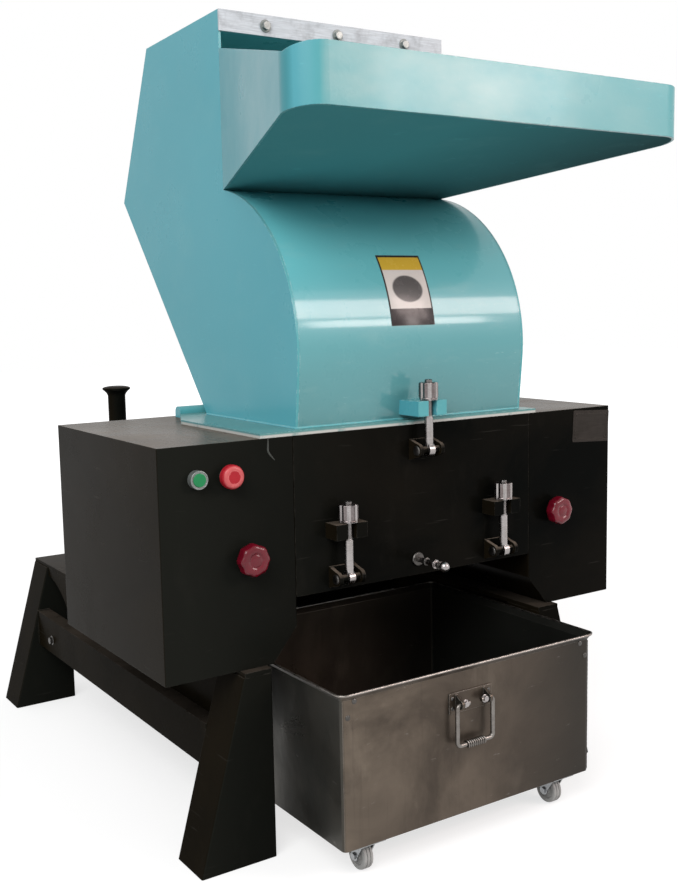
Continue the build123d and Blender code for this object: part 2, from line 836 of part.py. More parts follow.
# Casters: fixed plates, swivelling forks with their axles, and wheels
plate_base = bin_base - caster_plate
wheel_z = wheel_radius
caster_half = bin_width / 2 - caster_inset_x
caster_spots = {
    "left_front": (bin_x - caster_half, bin_start + caster_inset_y),
    "right_front": (bin_x + caster_half, bin_start + caster_inset_y),
    "left_rear": (bin_x - caster_half, bin_start + bin_depth - caster_inset_y),
    "right_rear": (bin_x + caster_half, bin_start + bin_depth - caster_inset_y),
}
with BuildPart() as caster_plates:
    for x, depth in caster_spots.values():
        with BuildSketch(Plane.XY.offset(plate_base)):
            with Locations((x, front_y + depth)):
                Rectangle(caster_plate_size, caster_plate_size)
                Circle(kingpin + running_fit, mode=Mode.SUBTRACT)
        extrude(amount=caster_plate)
caster_plates.part.label = "caster_plates"
export_step(caster_plates.part, "parts/caster_plates.step")

fork_top = plate_base - seat_gap
fork_inner = wheel_width / 2 + fork_gap
fork_outer = fork_inner + fork_sheet
fork_boss = 9
for place, (x, depth) in caster_spots.items():
    axle_y = front_y + depth + caster_trail
    with BuildPart() as fork:
        with BuildSketch(Plane.XY.offset(fork_top - fork_sheet)):
            with Locations((x, front_y + depth)):
                Circle(fork_outer + 3)
        extrude(amount=fork_sheet)
        with BuildSketch(Plane.XY.offset(fork_top - fork_sheet)):
            with Locations((x, front_y + depth)):
                Circle(kingpin)
        extrude(amount=fork_sheet + caster_plate)
        for cheek_x in (x - fork_outer, x + fork_inner):
            with BuildSketch(across(cheek_x)):
                with BuildLine():
                    Polyline(
                        (axle_y + fork_boss, wheel_z),
                        (front_y + depth + fork_outer, fork_top - fork_sheet / 2),
                        (front_y + depth - fork_outer, fork_top - fork_sheet / 2),
                        (axle_y - fork_boss, wheel_z),
                    )
                    ThreePointArc((axle_y - fork_boss, wheel_z), (axle_y, wheel_z - fork_boss), (axle_y + fork_boss, wheel_z))
                make_face()
            extrude(amount=fork_sheet)
        with BuildSketch(across(x - fork_outer - fork_gap)):
            with Locations((axle_y, wheel_z)):
                Circle(wheel_bore)
        extrude(amount=2 * (fork_outer + fork_gap))
    fork.part.label = f"{place}_fork"
    export_step(fork.part, f"parts/{place}_fork.step")

    with BuildPart() as wheel:
        with BuildSketch(across(x - wheel_width / 2)):
            with Locations((axle_y, wheel_z)):
                Circle(wheel_radius)
                Circle(wheel_bore + running_fit, mode=Mode.SUBTRACT)
        extrude(amount=wheel_width)
        fillet(wheel.edges().filter_by(GeomType.CIRCLE).sort_by(SortBy.RADIUS)[-2:], 2)
    wheel.part.label = f"{place}_wheel"
    export_step(wheel.part, f"parts/{place}_wheel.step")
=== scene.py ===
"""Dressing for a floor-standing plastic crusher: finishes, fasteners, welds, handle, stage and camera."""

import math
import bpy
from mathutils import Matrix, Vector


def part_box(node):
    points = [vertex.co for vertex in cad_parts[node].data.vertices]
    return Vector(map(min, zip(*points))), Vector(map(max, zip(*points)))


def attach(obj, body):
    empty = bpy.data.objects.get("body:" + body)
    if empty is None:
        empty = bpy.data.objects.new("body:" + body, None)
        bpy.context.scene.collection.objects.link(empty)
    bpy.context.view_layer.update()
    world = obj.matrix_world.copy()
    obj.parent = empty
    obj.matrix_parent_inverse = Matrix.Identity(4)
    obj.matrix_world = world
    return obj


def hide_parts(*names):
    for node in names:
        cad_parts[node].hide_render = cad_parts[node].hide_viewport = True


bl_info = {
    "name": "Plastic Crusher Dressing",
    "version": (1, 0, 0),
    "blender": (4, 5, 0),
    "location": "3D View > Sidebar > Crusher",
    "description": "Finishes and small pieces of a plastic crusher around its fixed frame",
    "category": "Object",
}

from collections import namedtuple

import bpy
import numpy as np
from bpy.props import FloatProperty, FloatVectorProperty, IntProperty, PointerProperty
from bpy.types import Operator, Panel, PropertyGroup
from mathutils import Matrix, Vector

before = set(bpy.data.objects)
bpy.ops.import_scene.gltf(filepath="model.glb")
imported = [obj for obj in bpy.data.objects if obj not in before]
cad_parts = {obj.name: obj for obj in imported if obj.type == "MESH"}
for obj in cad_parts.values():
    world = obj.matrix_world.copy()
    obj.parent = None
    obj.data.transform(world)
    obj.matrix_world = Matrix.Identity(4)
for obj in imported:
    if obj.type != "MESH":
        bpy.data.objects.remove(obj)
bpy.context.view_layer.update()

MM = 0.001
TAU = 2 * math.pi
RIGHT, FRONT, BACK, UP, DOWN = (1, 0, 0), (0, -1, 0), (0, 1, 0), (0, 0, 1), (0, 0, -1)
SIDES = (-1, 1)
CORNERS = tuple((a, b) for a in SIDES for b in SIDES)

Span = namedtuple("Span", "low high centre")


def span(node):
    """Low corner, high corner and centre of a frame node, as arrays in metres."""
    low, high = (np.array(corner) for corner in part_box(node))
    return Span(low, high, (low + high) / 2)


def mm(points):
    """Points given in millimetres, as an array in metres."""
    return np.asarray(points, dtype=float) * MM


# Sizes and colours


def size(name, default, description):
    """A length that a user may change, in metres."""
    return FloatProperty(
        name=name, description=description, default=default, min=0, unit="LENGTH", precision=4
    )


def number(name, default, description, **more):
    """A plain number that a user may change."""
    return FloatProperty(name=name, description=description, default=default, **more)


def angle(name, degrees, description):
    """An angle that a user may change, given in degrees."""
    return FloatProperty(name=name, description=description, default=math.radians(degrees), subtype="ANGLE")


def whole(name, default, description, least):
    """A count that a user may change."""
    return IntProperty(name=name, description=description, default=default, min=least)


def colour(name, default, description):
    """A linear colour that a user may change."""
    return FloatVectorProperty(
        name=name, description=description, default=default, size=3, subtype="COLOR", min=0, max=1
    )


class CrusherColours(PropertyGroup):
    """Colours of the finishes."""

    turquoise: colour("Turquoise enamel", (0.086, 0.345, 0.388), "Hopper and tray enamel")
    black: colour("Black enamel", (0.0018, 0.0021, 0.0018), "Body, legs and rails enamel")
    bright_steel: colour("Bright steel", (0.34, 0.32, 0.315), "Swing bolts, nuts and the pull rod")
    bin_steel: colour("Bin steel", (0.088, 0.068, 0.052), "Dark rolled sheet of the bin")
    bin_edge: colour("Bin edge", (0.30, 0.28, 0.26), "Rubbed rim of the bin")
    zinc: colour("Zinc plating", (0.36, 0.37, 0.38), "Caster forks and bolts")
    strip: colour("Strip steel", (0.50, 0.535, 0.57), "Bright strip over the mouth")
    wheel: colour("Wheel plastic", (0.36, 0.36, 0.35), "Caster wheels")
    red: colour("Red plastic", (0.120, 0.0022, 0.010), "Hand knobs")
    signal_red: colour("Signal red", (0.37, 0.013, 0.023), "Stop button")
    green: colour("Green plastic", (0.008, 0.215, 0.070), "Start button")
    backdrop: colour("Backdrop", (0.40, 0.40, 0.40), "Floor of the stage, under its own white glow")


class CrusherBody(PropertyGroup):
    """Sizes of the frame's welds, the rating plate and the rest posts."""

    leg_head: size("Leg head", 0.051, "Width of a leg where it meets the top rails")
    plate_width: size("Plate width", 0.100, "Width of the blank rating plate")
    plate_height: size("Plate height", 0.064, "Height of the blank rating plate")
    plate_thickness: size("Plate thickness", 0.0012, "Thickness of the blank rating plate")
    plate_corner: size("Plate corner", 0.003, "Corner radius of the blank rating plate")
    plate_lean: angle("Plate lean", -3, "Turn of the rating plate from level")
    post_radius: size("Post radius", 0.020, "Radius of a rest post")
    post_head: size("Post head", 0.032, "Radius of a rest post's mushroom head")


class CrusherClamps(PropertyGroup):
    """Sizes of the swing bolts' nuts, threads and pins."""

    nut_flats: size("Nut across flats", 0.030, "Width of a clamp nut across its flats")
    nut_height: size("Nut height", 0.031, "Height of a clamp nut")
    collar: size("Collar", 0.0042, "Height of the round collar under a clamp nut")
    stud_end: size("Stud end", 0.005, "Thread standing above the nut")
    thread_radius: size("Thread radius", 0.0072, "Outer radius of the thread")
    thread_depth: size("Thread depth", 0.0011, "Depth of the thread")
    thread_pitch: size("Thread pitch", 0.0020, "Rise of the thread in one turn")
    thread_length: size("Thread length", 0.0300, "Thread below the nut's seat")
    eye_radius: size("Eye radius", 0.0120, "Outer radius of the bolt's eye")
    pin_head: size("Pin head", 0.0093, "Radius of the pivot pin's head")
    pin_reach: size("Pin reach", 0.0270, "From the bolt's middle to a pin head")


class CrusherControls(PropertyGroup):
    """Sizes of the buttons, knobs and the rod."""

    knob_lobes: whole("Knob lobes", 8, "Lobes round a hand knob", 3)
    knob_waist: number("Knob waist", 0.085, "Depth of the hollows, as a share of the radius", min=0, max=0.5)
    knob_seat: size("Knob seat", 0.0104, "From the body's front to the knob's lobed head")
    bezel_radius: size("Bezel radius", 0.015, "Outer radius of the start button's bezel")
    bezel_lip: size("Bezel lip", 0.0011, "Width of the rolled lip of a bezel")
    arrow_radius: size("Arrow radius", 0.0128, "Radius of the turning arrows on the stop button")


class CrusherHopper(PropertyGroup):
    """Sizes of the hopper's curved front, welds and fasteners."""

    bulge_radius: size("Bulge radius", 0.298, "Radius of the curved front")
    bulge_height: size("Bulge height", 0.855, "Height of the curved front's centre above the floor")
    weld_radius: size("Weld radius", 0.0022, "Radius of a weld bead")
    weld_ripple: size("Weld ripple", 0.0060, "Length of one ripple along a weld bead")
    strip_bolt_radius: size("Strip bolt radius", 0.0085, "Head radius of the bolts through the mouth strip")
    strip_bolt_step: size("Strip bolt step", 0.159, "From one bolt of the mouth strip to the next")
    label_width: size("Label width", 0.097, "Width of the blank label on the curved front")
    label_shift: size("Label shift", 0.0140, "How far the label stands right of the middle")
    label_low: size("Label foot", 0.897, "Height of the blank label's foot above the floor")
    label_high: size("Label head", 1.023, "Height of the blank label's head above the floor")
    lip_corner: size("Lip corner", 0.062, "From the tray's side to the seam at its rounded corner")


class CrusherBin(PropertyGroup):
    """Sizes of the bin's rim, rivets, handle and casters."""

    rim_bead: size("Rim bead", 0.0022, "Radius of the rubbed edge round the rim")
    rim_flare: size("Rim flare", 0.009, "How far the rim leans out past the bin's walls")
    rim_corner: size("Rim corner", 0.017, "Radius of the rim's corners")
    rivet_radius: size("Rivet radius", 0.0048, "Radius of a rivet's head")
    bail_radius: size("Bail radius", 0.004, "Radius of the bail's rod")
    bail_corner: size("Bail corner", 0.007, "Bend of the bail's rod")
    coil_turns: whole("Coil turns", 9, "Turns of wire on the bail's grip", 2)
    coil_wire: size("Coil wire", 0.0016, "Radius of the grip's wire")
    coil_radius: size("Coil radius", 0.0075, "Outer radius of the grip's coil")
    coil_reach: size("Coil reach", 0.020, "Half of the coil's length")
    tread_groove: size("Tread groove", 0.0016, "Depth of the two grooves round a wheel")
    king_offset: size("King offset", 0.014, "From a wheel's axle to its swivel's axis")


class CrusherStage(PropertyGroup):
    """Camera and light."""

    eye: FloatVectorProperty(
        name="Camera place", description="Where the camera stands", default=(-1.2115, -1.9976, 0.9453),
        size=3, subtype="XYZ", unit="LENGTH",
    )
    yaw: angle("Yaw", -33.4618, "Turn from +Y, leftwards")
    pitch: angle("Pitch", -7.2183, "Tilt above level")
    roll: angle("Roll", -1.0905, "Turn about the line of sight")
    focal: number("Focal length", 59.31, "In millimetres on 36 mm")
    shift: FloatVectorProperty(name="Shift", description="Lens shift", default=(-0.00464, -0.0080), size=2)
    world_light: number("World light", 0.62, "Strength of the surrounding light")
    floor_glow: number("Floor glow", 0.68, "Glow of the floor round the crusher, before the lamps' light")
    key_power: number("Key power", 150.0, "Soft lamp over the left front", unit="POWER")
    band_power: number("Band power", 125.0, "Long lamp that glints on the curved front", unit="POWER")
    lip_power: number("Lip power", 25.0, "Low lamp that glints on the tray's lip", unit="POWER")


GROUPS = {
    "crusher_colours": CrusherColours,
    "crusher_body": CrusherBody,
    "crusher_clamps": CrusherClamps,
    "crusher_controls": CrusherControls,
    "crusher_hopper": CrusherHopper,
    "crusher_bin": CrusherBin,
    "crusher_stage": CrusherStage,
}


# Surfaces


def unit(vector):
    """Vectors scaled to length 1 along their last axis."""
    vector = np.asarray(vector, dtype=float)
    return vector / np.linalg.norm(vector, axis=-1, keepdims=True)


def run_along(path):
    """Distance from a path's start to each of its points."""
    return np.concatenate([[0], np.cumsum(np.linalg.norm(np.diff(path, axis=0), axis=1))])


def fan_volume(ring):
    """Six times the volume between the origin and a ring's triangle fan."""
    return (ring[0] * np.cross(ring[1:-1], ring[2:])).sum()


class Surface:
    """Grids of points gathered into one mesh piece."""

    def __init__(self):
        self.points = []
        self.faces = []
        self.count = 0

    def add(self, grid, around=True, along=False, ends=True):
        """Join a grid's neighbours into four-sided faces.

        around closes every row into a ring, along joins the last row to the first and ends caps
        the first and the last ring. A closed shape is turned so that its faces point outwards:
        the sum of v0 . (v1 x v2) over its triangles is made positive.
        """
        rows, columns = grid.shape[:2]
        index = np.arange(rows * columns).reshape(rows, columns)
        if around:
            index = np.hstack([index, index[:, :1]])
        if along:
            index = np.vstack([index, index[:1]])
        quads = np.stack([index[:-1, :-1], index[:-1, 1:], index[1:, 1:], index[1:, :-1]], axis=-1)
        quads = quads.reshape(-1, 4)
        flat = grid.reshape(-1, 3)
        a, b, c, d = (flat[quads[:, side]] for side in range(4))
        volume = (a * (np.cross(b, c) + np.cross(c, d))).sum()
        faces = quads.tolist()
        if ends and not along:
            first, last = index[0, :columns][::-1], index[-1, :columns]
            volume += fan_volume(flat[first]) + fan_volume(flat[last])
            faces += [first.tolist(), last.tolist()]
        if volume < 0 and around:
            faces = [face[::-1] for face in faces]
        self.points.append(flat)
        self.faces += [[corner + self.count for corner in face] for face in faces]
        self.count += len(flat)
        return self

    def turn(self, profile, centre, axis, count=48, wave=None, **joins):
        """Add a turned profile."""
        return self.add(turned(profile, centre, axis, count, wave), **joins)

    def hoop(self, path, radius, side, count=8):
        """Add a closed ring of round wire."""
        return self.add(tube(path, radius, side, count, closed=True), along=True, ends=False)

    def bead(self, corners, side, radius, ripple, step=MM):
        """Add a weld bead along straight runs between corners."""
        return self.add(weld(walk(corners, step), side, radius, ripple))

    def thing(self, name, material, sharp=35):
        """Write the gathered grids to a mesh object."""
        mesh = bpy.data.meshes.new(name)
        mesh.from_pydata(np.concatenate(self.points), [], self.faces)
        mesh.polygons.foreach_set("use_smooth", np.ones(len(mesh.polygons), dtype=bool))
        mesh.set_sharp_from_angle(angle=math.radians(sharp))
        mesh.update()
        thing = bpy.data.objects.new(name, mesh)
        bpy.context.scene.collection.objects.link(thing)
        mesh.materials.append(material)
        return thing

    def piece(self, name, body, finish, slot, sharp=35):
        """Write the gathered grids to a mesh object that rides on a body."""
        thing = self.thing(name, finishes()[finish], sharp)
        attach(thing, body)
        return thing


def turned(profile, centre, axis, count=48, wave=None):
    """Profile of (radius, height) turned about an axis through centre.

    Point = centre + height * axis + radius * wave(turn, height) * (cos turn * u + sin turn * v),
    where u and v are square to the axis.
    """
    profile = np.asarray(profile, dtype=float)
    axis = unit(axis)
    helper = np.array([0.0, 0.0, 1.0]) if abs(axis[2]) < 0.9 else np.array([0.0, 1.0, 0.0])
    u = unit(np.cross(helper, axis))
    v = np.cross(axis, u)
    turn = np.arange(count) * TAU / count
    radius = np.repeat(profile[:, :1], count, axis=1)
    height = np.repeat(profile[:, 1:], count, axis=1)
    if wave is not None:
        radius = radius * wave(turn[None, :], height)
    spoke = np.cos(turn)[:, None] * u + np.sin(turn)[:, None] * v
    return np.asarray(centre) + height[..., None] * axis + radius[..., None] * spoke[None]


def nut(centre, axis, flats, height, count=96):
    """Six-sided nut with rounded corners at both ends.

    Radius = the lesser of (flats / 2) / cos(turn within a flat) and a cone that starts just
    inside the inscribed circle on each end and opens by 30 degrees from the end's plane.
    """
    apothem = flats / 2
    levels = np.array([0, 0.5, 1, 2, 12, 13, 13.5, 14]) * height / 14

    def six_sided(turn, level):
        within = np.mod(turn + math.pi / 6, math.pi / 3) - math.pi / 6
        cone = apothem * 0.985 + np.minimum(level, height - level) / math.tan(math.radians(30))
        return np.minimum(apothem / np.cos(within), cone) / apothem

    return turned([(apothem, level) for level in levels], centre, axis, count, six_sided)


def tube(path, radius, side, count=16, closed=False):
    """Round tube along a path.

    Point = path + radius * (cos a * s + sin a * n), where s is square to the path and to the
    side vector, and n completes the frame. radius may be one number or one for each point.
    """
    path = np.asarray(path, dtype=float)
    if closed:
        tangent = unit(np.roll(path, -1, axis=0) - np.roll(path, 1, axis=0))
    else:
        tangent = unit(np.gradient(path, axis=0))
    s = unit(np.cross(tangent, np.asarray(side, dtype=float)))
    n = np.cross(s, tangent)
    turn = np.arange(count) * TAU / count
    radius = np.broadcast_to(np.asarray(radius, dtype=float), (len(path),))
    ring = np.cos(turn)[None, :, None] * s[:, None] + np.sin(turn)[None, :, None] * n[:, None]
    return path[:, None] + radius[:, None, None] * ring


def walk(corners, step):
    """Points about one step apart along straight runs between corners."""
    corners = np.asarray(corners, dtype=float)
    run = run_along(corners)
    stops = np.linspace(0, run[-1], max(2, int(run[-1] / step) + 1))
    return np.stack([np.interp(stops, run, corners[:, k]) for k in range(3)], axis=1)


def weld(path, side, radius, ripple):
    """Weld bead along a path: a tube that swells once per ripple and thins at its ends.

    Radius = r * (1 + 0.18 |sin(pi * run / ripple)| + a slow drift of 0.08) * a short taper.
    """
    run = run_along(path)
    swell = 1 + 0.18 * np.abs(np.sin(math.pi * run / ripple)) + 0.08 * np.sin(run * 71)
    ends = np.minimum(1, np.minimum(run, run[-1] - run) / radius + 0.35)
    return tube(path, radius * swell * ends, side, 8)


def rounded_ring(centre, wide, deep, corner, count):
    """Closed outline of a rectangle with round corners, level in z.

    Four quarter circles of radius corner stand in the corners and straight runs join them. Points
    at 4 * count even steps of the whole run come between those of the circles.
    """
    quarter = np.linspace(0, math.pi / 2, 9)
    points = []
    for quadrant, (sx, sy) in enumerate(((1, 1), (-1, 1), (-1, -1), (1, -1))):
        turn = quarter + quadrant * math.pi / 2
        hub = np.array([sx * (wide / 2 - corner), sy * (deep / 2 - corner)])
        points.append(hub + corner * np.stack([np.cos(turn), np.sin(turn)], axis=1))
    ring = np.concatenate([*points, points[0][:1]])
    run = run_along(ring)
    extra = np.linspace(0, run[-1], 4 * count, endpoint=False)
    stops = np.unique(np.concatenate([run[:-1], extra]))
    flat = np.stack([np.interp(stops, run, ring[:, k]) for k in range(2)], axis=1)
    return np.column_stack([flat + np.asarray(centre)[:2], np.full(len(flat), centre[2])])


def dome(radius, height, rim=0.0):
    """Profile of a shallow round head: radius * cos t, rim + height * sin t."""
    t = np.linspace(0, math.pi / 2 * 0.97, 8)
    cap = np.stack([radius * np.cos(t), rim + height * np.sin(t)], axis=1)
    return np.concatenate([[[radius, 0.0]], cap]) if rim else cap


def hex_screw(surface, centre, axis, radius, height):
    """Hexagon head on a round washer, seated at centre."""
    washer, rim = height * 0.22, radius * 1.35
    profile = [(rim * 0.97, 0), (rim, washer * 0.3), (rim, washer * 0.8), (rim * 0.95, washer)]
    surface.turn(profile, centre, axis, 32)
    surface.add(nut(np.asarray(centre) + unit(axis) * washer, axis, radius * 2 * 0.87, height, 48))


# Finishes


class Tree:
    """A node tree being made."""

    def __init__(self, tree):
        self.nodes, self.links = tree.nodes, tree.links

    def put(self, value, socket):
        """Link a socket or set a plain value."""
        if isinstance(value, bpy.types.NodeSocket):
            self.links.new(value, socket)
        elif hasattr(value, "__len__"):
            socket.default_value = (*value[:3], 1.0) if len(socket.default_value) == 4 else tuple(value)
        else:
            socket.default_value = value

    def node(self, kind, inputs, output=0, **settings):
        """An output of a new node, its settings made and its inputs filled by number or name."""
        node = self.nodes.new(f"ShaderNode{kind}")
        for key, setting in settings.items():
            setattr(node, key, setting)
        for key, value in inputs.items():
            self.put(value, node.inputs[key])
        return node.outputs[output]

    def maths(self, kind, *values):
        """One arithmetic step."""
        return self.node("Math", dict(enumerate(values)), operation=kind)

    def times(self, first, *more):
        """Product of shares."""
        for share in more:
            first = self.maths("MULTIPLY", first, share)
        return first

    def spread(self, value, low, high, start=0.0, end=1.0):
        """Carry value from low..high to start..end, held at both ends."""
        return self.node("MapRange", dict(enumerate((value, low, high, start, end))))

    def seen(self):
        """1 for rays by which the background is seen: straight, in a reflection or through glass."""
        rays = self.nodes.new("ShaderNodeLightPath").outputs
        straight_or_mirrored = self.maths("MAXIMUM", rays["Is Camera Ray"], rays["Is Glossy Ray"])
        return self.maths("MAXIMUM", straight_or_mirrored, rays["Is Transmission Ray"])


class Finish(Tree):
    """A material being made: colours laid over a base, then gloss and relief."""

    def __init__(self, name, base, metallic=0.0, coat=0.0, coat_roughness=0.1, specular=0.5):
        self.material = bpy.data.materials.new(name)
        self.material.use_nodes = True
        super().__init__(self.material.node_tree)
        self.shader = self.nodes["Principled BSDF"].inputs
        self.place = self.node("TexCoord", {}, "Object")
        self.tone = base
        self.shader["Metallic"].default_value = metallic
        self.shader["Coat Weight"].default_value = coat
        self.shader["Coat Roughness"].default_value = coat_roughness
        self.shader["Specular IOR Level"].default_value = specular

    def stretched(self, scale):
        """Object coordinates, scaled along each axis if a scale is given."""
        return self.node("Mapping", {"Vector": self.place, "Scale": scale}) if scale else self.place

    def noise(self, scale, detail=4.0, roughness=0.5, stretch=None, distortion=0.0):
        """Noise between 0 and 1 at a scale in turns per metre."""
        inputs = {"Scale": scale, "Detail": detail, "Roughness": roughness, "Distortion": distortion}
        return self.node("TexNoise", {**inputs, "Vector": self.stretched(stretch)})

    def cloud(self, scale, detail, roughness, low, high, start=0.0, end=1.0, **form):
        """Noise carried from low..high to start..end."""
        return self.spread(self.noise(scale, detail, roughness, **form), low, high, start, end)

    def specks(self, scale, radius, share):
        """Round specks about scattered points: share at a point, nothing from radius outwards."""
        distance = self.node("TexVoronoi", {"Scale": scale, "Vector": self.place}, "Distance")
        return self.spread(distance, 0.0, radius, share, 0.0)

    def mix(self, amount, a, b):
        """Blend two colours by an amount."""
        return self.node("Mix", {0: amount, 6: a, 7: b}, 2, data_type="RGBA")

    def lay(self, colour, *shares):
        """Lay a colour over the tone by the product of shares."""
        self.tone = self.mix(self.times(*shares), self.tone, colour)

    def rounded(self, radius):
        """The normal, rounded over edges."""
        return self.node("Bevel", {"Radius": radius}, samples=4)

    def edges(self, radius):
        """Share of wear at sharp edges: how far a rounded normal leans from the true one."""
        true = self.node("NewGeometry", {}, "Normal")
        inputs = {0: self.rounded(radius), 1: true}
        lean = self.node("VectorMath", inputs, "Value", operation="DOT_PRODUCT")
        return self.spread(lean, 0.98, 0.75)

    def facing(self, axis, low, high):
        """Share by which the surface faces along an axis: 0 where its normal is low there, 1 where high."""
        true = self.node("NewGeometry", {}, "Normal")
        return self.spread(self.node("SeparateXYZ", {0: true}, axis), low, high)

    def along(self, axis):
        """Place along an axis, in metres."""
        return self.node("SeparateXYZ", {0: self.place}, axis)

    def relief(self, *steps, corner=0.0):
        """Bump from (height, depth in metres) steps over edges rounded by corner."""
        normal = self.rounded(corner) if corner else None
        for height, depth in steps:
            inputs = {"Distance": depth, "Strength": 1.0, "Height": height}
            normal = self.node("Bump", {**inputs, "Normal": normal} if normal else inputs)
        self.links.new(normal, self.shader["Normal"])

    def done(self, roughness):
        """Set colour and roughness and hand the material over."""
        self.put(self.tone, self.shader["Base Color"])
        self.put(roughness, self.shader["Roughness"])
        return self.material


def shade(base, *factors):
    """A colour scaled by one factor, or by one for each channel."""
    return tuple(np.minimum(1.0, np.multiply(base, factors)).tolist())


# Colours that the finishes lay over their base

PALE_INSIDE = (0.34, 0.72, 0.73)
# Pale wiped paint, partly painted glare.
WIPES_AND_GLARE = (0.40, 0.52, 0.49)
# Painted glare speck.
GLARE_SPECK = (0.62, 0.74, 0.70)
BLOOM = (0.20, 0.44, 0.45)
PALE_DUST = (0.50, 0.55, 0.53)
CHIPPED = (0.46, 0.62, 0.62)
# Painted highlight along a lower edge.
PAINTED_EDGE_GLINT = (0.47, 0.48, 0.455)
WARM_HAZE = (0.011, 0.009, 0.0065)
# Painted warm light on left faces.
PAINTED_LEFT_LIGHT = (0.0110, 0.0080, 0.0042)
HAND_MARKS = (0.0105, 0.0112, 0.0092)
WIPED_DUST = (0.045, 0.040, 0.034)
SPECK = (0.050, 0.046, 0.040)
HAIR_SCRATCH = (0.060, 0.056, 0.050)
BROWN_DUST = (0.27, 0.215, 0.170)
GREYED_EDGE = (0.10, 0.092, 0.080)
PRINTED_PINK = (0.66, 0.17, 0.17)
LABEL_INK = (0.025, 0.022, 0.022)


def turquoise_enamel(base, name="Turquoise enamel", dust=0.25, coat=0.12, specular=0.20,
                     edge_glint_height=None, inner=None, painted_underside_shade=0.0, smudge_glare_and_side_shade=0.0):
    """Brushed-on gloss enamel: painted shade making the faces that look along -X bluer and darker, patchy
    fading, orange peel, dust on tops and chipped edges.

    The arguments after specular give the height of a lower edge along which a patchy pale line is
    painted as a highlight, the axis against which an inside face looks that is made paler, the
    strength of painted shade on downward faces towards the right end, and the share of pale wiped
    patches, partly painted glare, on the front's left, which also paints shade on the faces looking
    straight along -X.
    """
    # Painted shade: faces looking along -X get a bluer, darker copy of the base, and the others a warmer,
    # lighter one.
    finish = Finish(name, shade(base, 1.06, 1.02, 0.95), coat=coat, specular=specular)
    patch = finish.noise(2.2, 5, 0.55, distortion=0.4)
    finish.lay(shade(base, 0.80, 0.95, 1.05), finish.facing("X", -0.3, -0.9))
    finish.lay(finish.mix(finish.spread(patch, 0.35, 0.70), shade(base, 0.94), shade(base, 1.06)), 0.5)
    # Inside faces looking against the given axis are made paler.
    if inner:
        finish.lay(PALE_INSIDE, finish.facing(inner, -0.3, -0.9), 0.85)
    # Painted shade: downward faces are darkened towards the right end, as shade under the tray.
    if painted_underside_shade:
        right = finish.spread(finish.along("X"), -0.05, 0.40, 0.0, painted_underside_shade)
        finish.lay(shade(base, 0.55, 0.28, 0.26), finish.facing("Z", -0.3, -0.9), right)
    # Partly real wiped paint and partly painted glare: pale patches on the front's left, then pale specks
    # there that are painted glare.
    if smudge_glare_and_side_shade:
        left = finish.spread(finish.along("X"), 0.40, -0.05, 0.15, smudge_glare_and_side_shade)
        front = finish.times(finish.facing("Y", -0.95, -0.995), left)
        finish.lay(WIPES_AND_GLARE, front, finish.cloud(6, 4, 0.5, 0.34, 0.70, stretch=(0.8, 1.0, 1.6)))
        finish.lay(GLARE_SPECK, front, finish.specks(110, 0.07, 0.8))
        # Painted shade: faces looking straight along -X get a darker, bluer copy of the base.
        finish.lay(shade(base, 0.45, 0.70, 0.72), finish.facing("X", -0.90, -0.985))
    finish.lay(BLOOM, finish.cloud(9, 6, 0.62, 0.52, 0.75, 0.0, 0.12))
    finish.lay(shade(base, 0.72), finish.specks(260, 0.055, 0.5))
    finish.lay(shade(base, 1.5), finish.cloud(60, 3, 0.7, 0.66, 0.74, 0.0, 0.22, stretch=(0.35, 0.35, 3.0)))
    finish.lay(PALE_DUST, finish.facing("Z", 0.3, 0.95), finish.cloud(14, 6, 0.7, 0.35, 0.75, 0.1, 1.0), dust)
    finish.lay(CHIPPED, finish.edges(2.5 * MM), finish.cloud(95, 4, 0.7, 0.50, 0.62), 0.85)
    # Painted highlight: a patchy pale line along the lower edge, standing in for light caught by the edge.
    if edge_glint_height is not None:
        foot = finish.spread(finish.along("Z"), edge_glint_height + 6.0 * MM, edge_glint_height + 3.5 * MM)
        finish.lay(PAINTED_EDGE_GLINT, foot, finish.cloud(26, 4, 0.6, 0.26, 0.42))
    finish.relief((patch, 1.0 * MM), (finish.noise(170, 2), 0.10 * MM), corner=1.6 * MM)
    return finish.done(finish.cloud(7, 5, 0.6, 0.3, 0.7, 0.24, 0.38))


def curved_enamel(base):
    """Gloss enamel of the curved front: painted lighter towards the head and painted darker and greyer
    towards the foot, finely scuffed.
    """
    # Painted light and shade: a darker, greyer base, painted lighter towards the head.
    foot_shade_base = shade(base, 0.92, 0.64, 0.60)
    finish = Finish("Curved front enamel", foot_shade_base, coat=0.55, coat_roughness=0.09, specular=0.24)
    patch = finish.noise(3.0, 5, 0.55, distortion=0.4)
    finish.lay(shade(base, 1.60, 1.48, 1.44), finish.spread(finish.along("Z"), 0.72, 1.12))
    finish.lay(shade(base, 1.35, 1.18, 1.14), finish.spread(patch, 0.35, 0.72, 0.0, 0.22))
    finish.lay((0.34, 0.50, 0.48), finish.cloud(16, 6, 0.7, 0.55, 0.75, 0.0, 0.14, stretch=(0.6, 1.6, 1.6)))
    finish.lay(shade(base, 0.60), finish.specks(210, 0.05, 0.45))
    finish.lay((0.45, 0.66, 0.66), finish.cloud(85, 3, 0.7, 0.68, 0.76, 0.0, 0.28, stretch=(0.4, 2.0, 2.0)))
    finish.lay(CHIPPED, finish.edges(2.5 * MM), finish.cloud(95, 4, 0.7, 0.48, 0.60, 0.0, 0.8))
    finish.relief((patch, 0.7 * MM), (finish.noise(170, 2), 0.08 * MM), corner=1.6 * MM)
    return finish.done(finish.cloud(7, 5, 0.6, 0.3, 0.7, 0.22, 0.36))


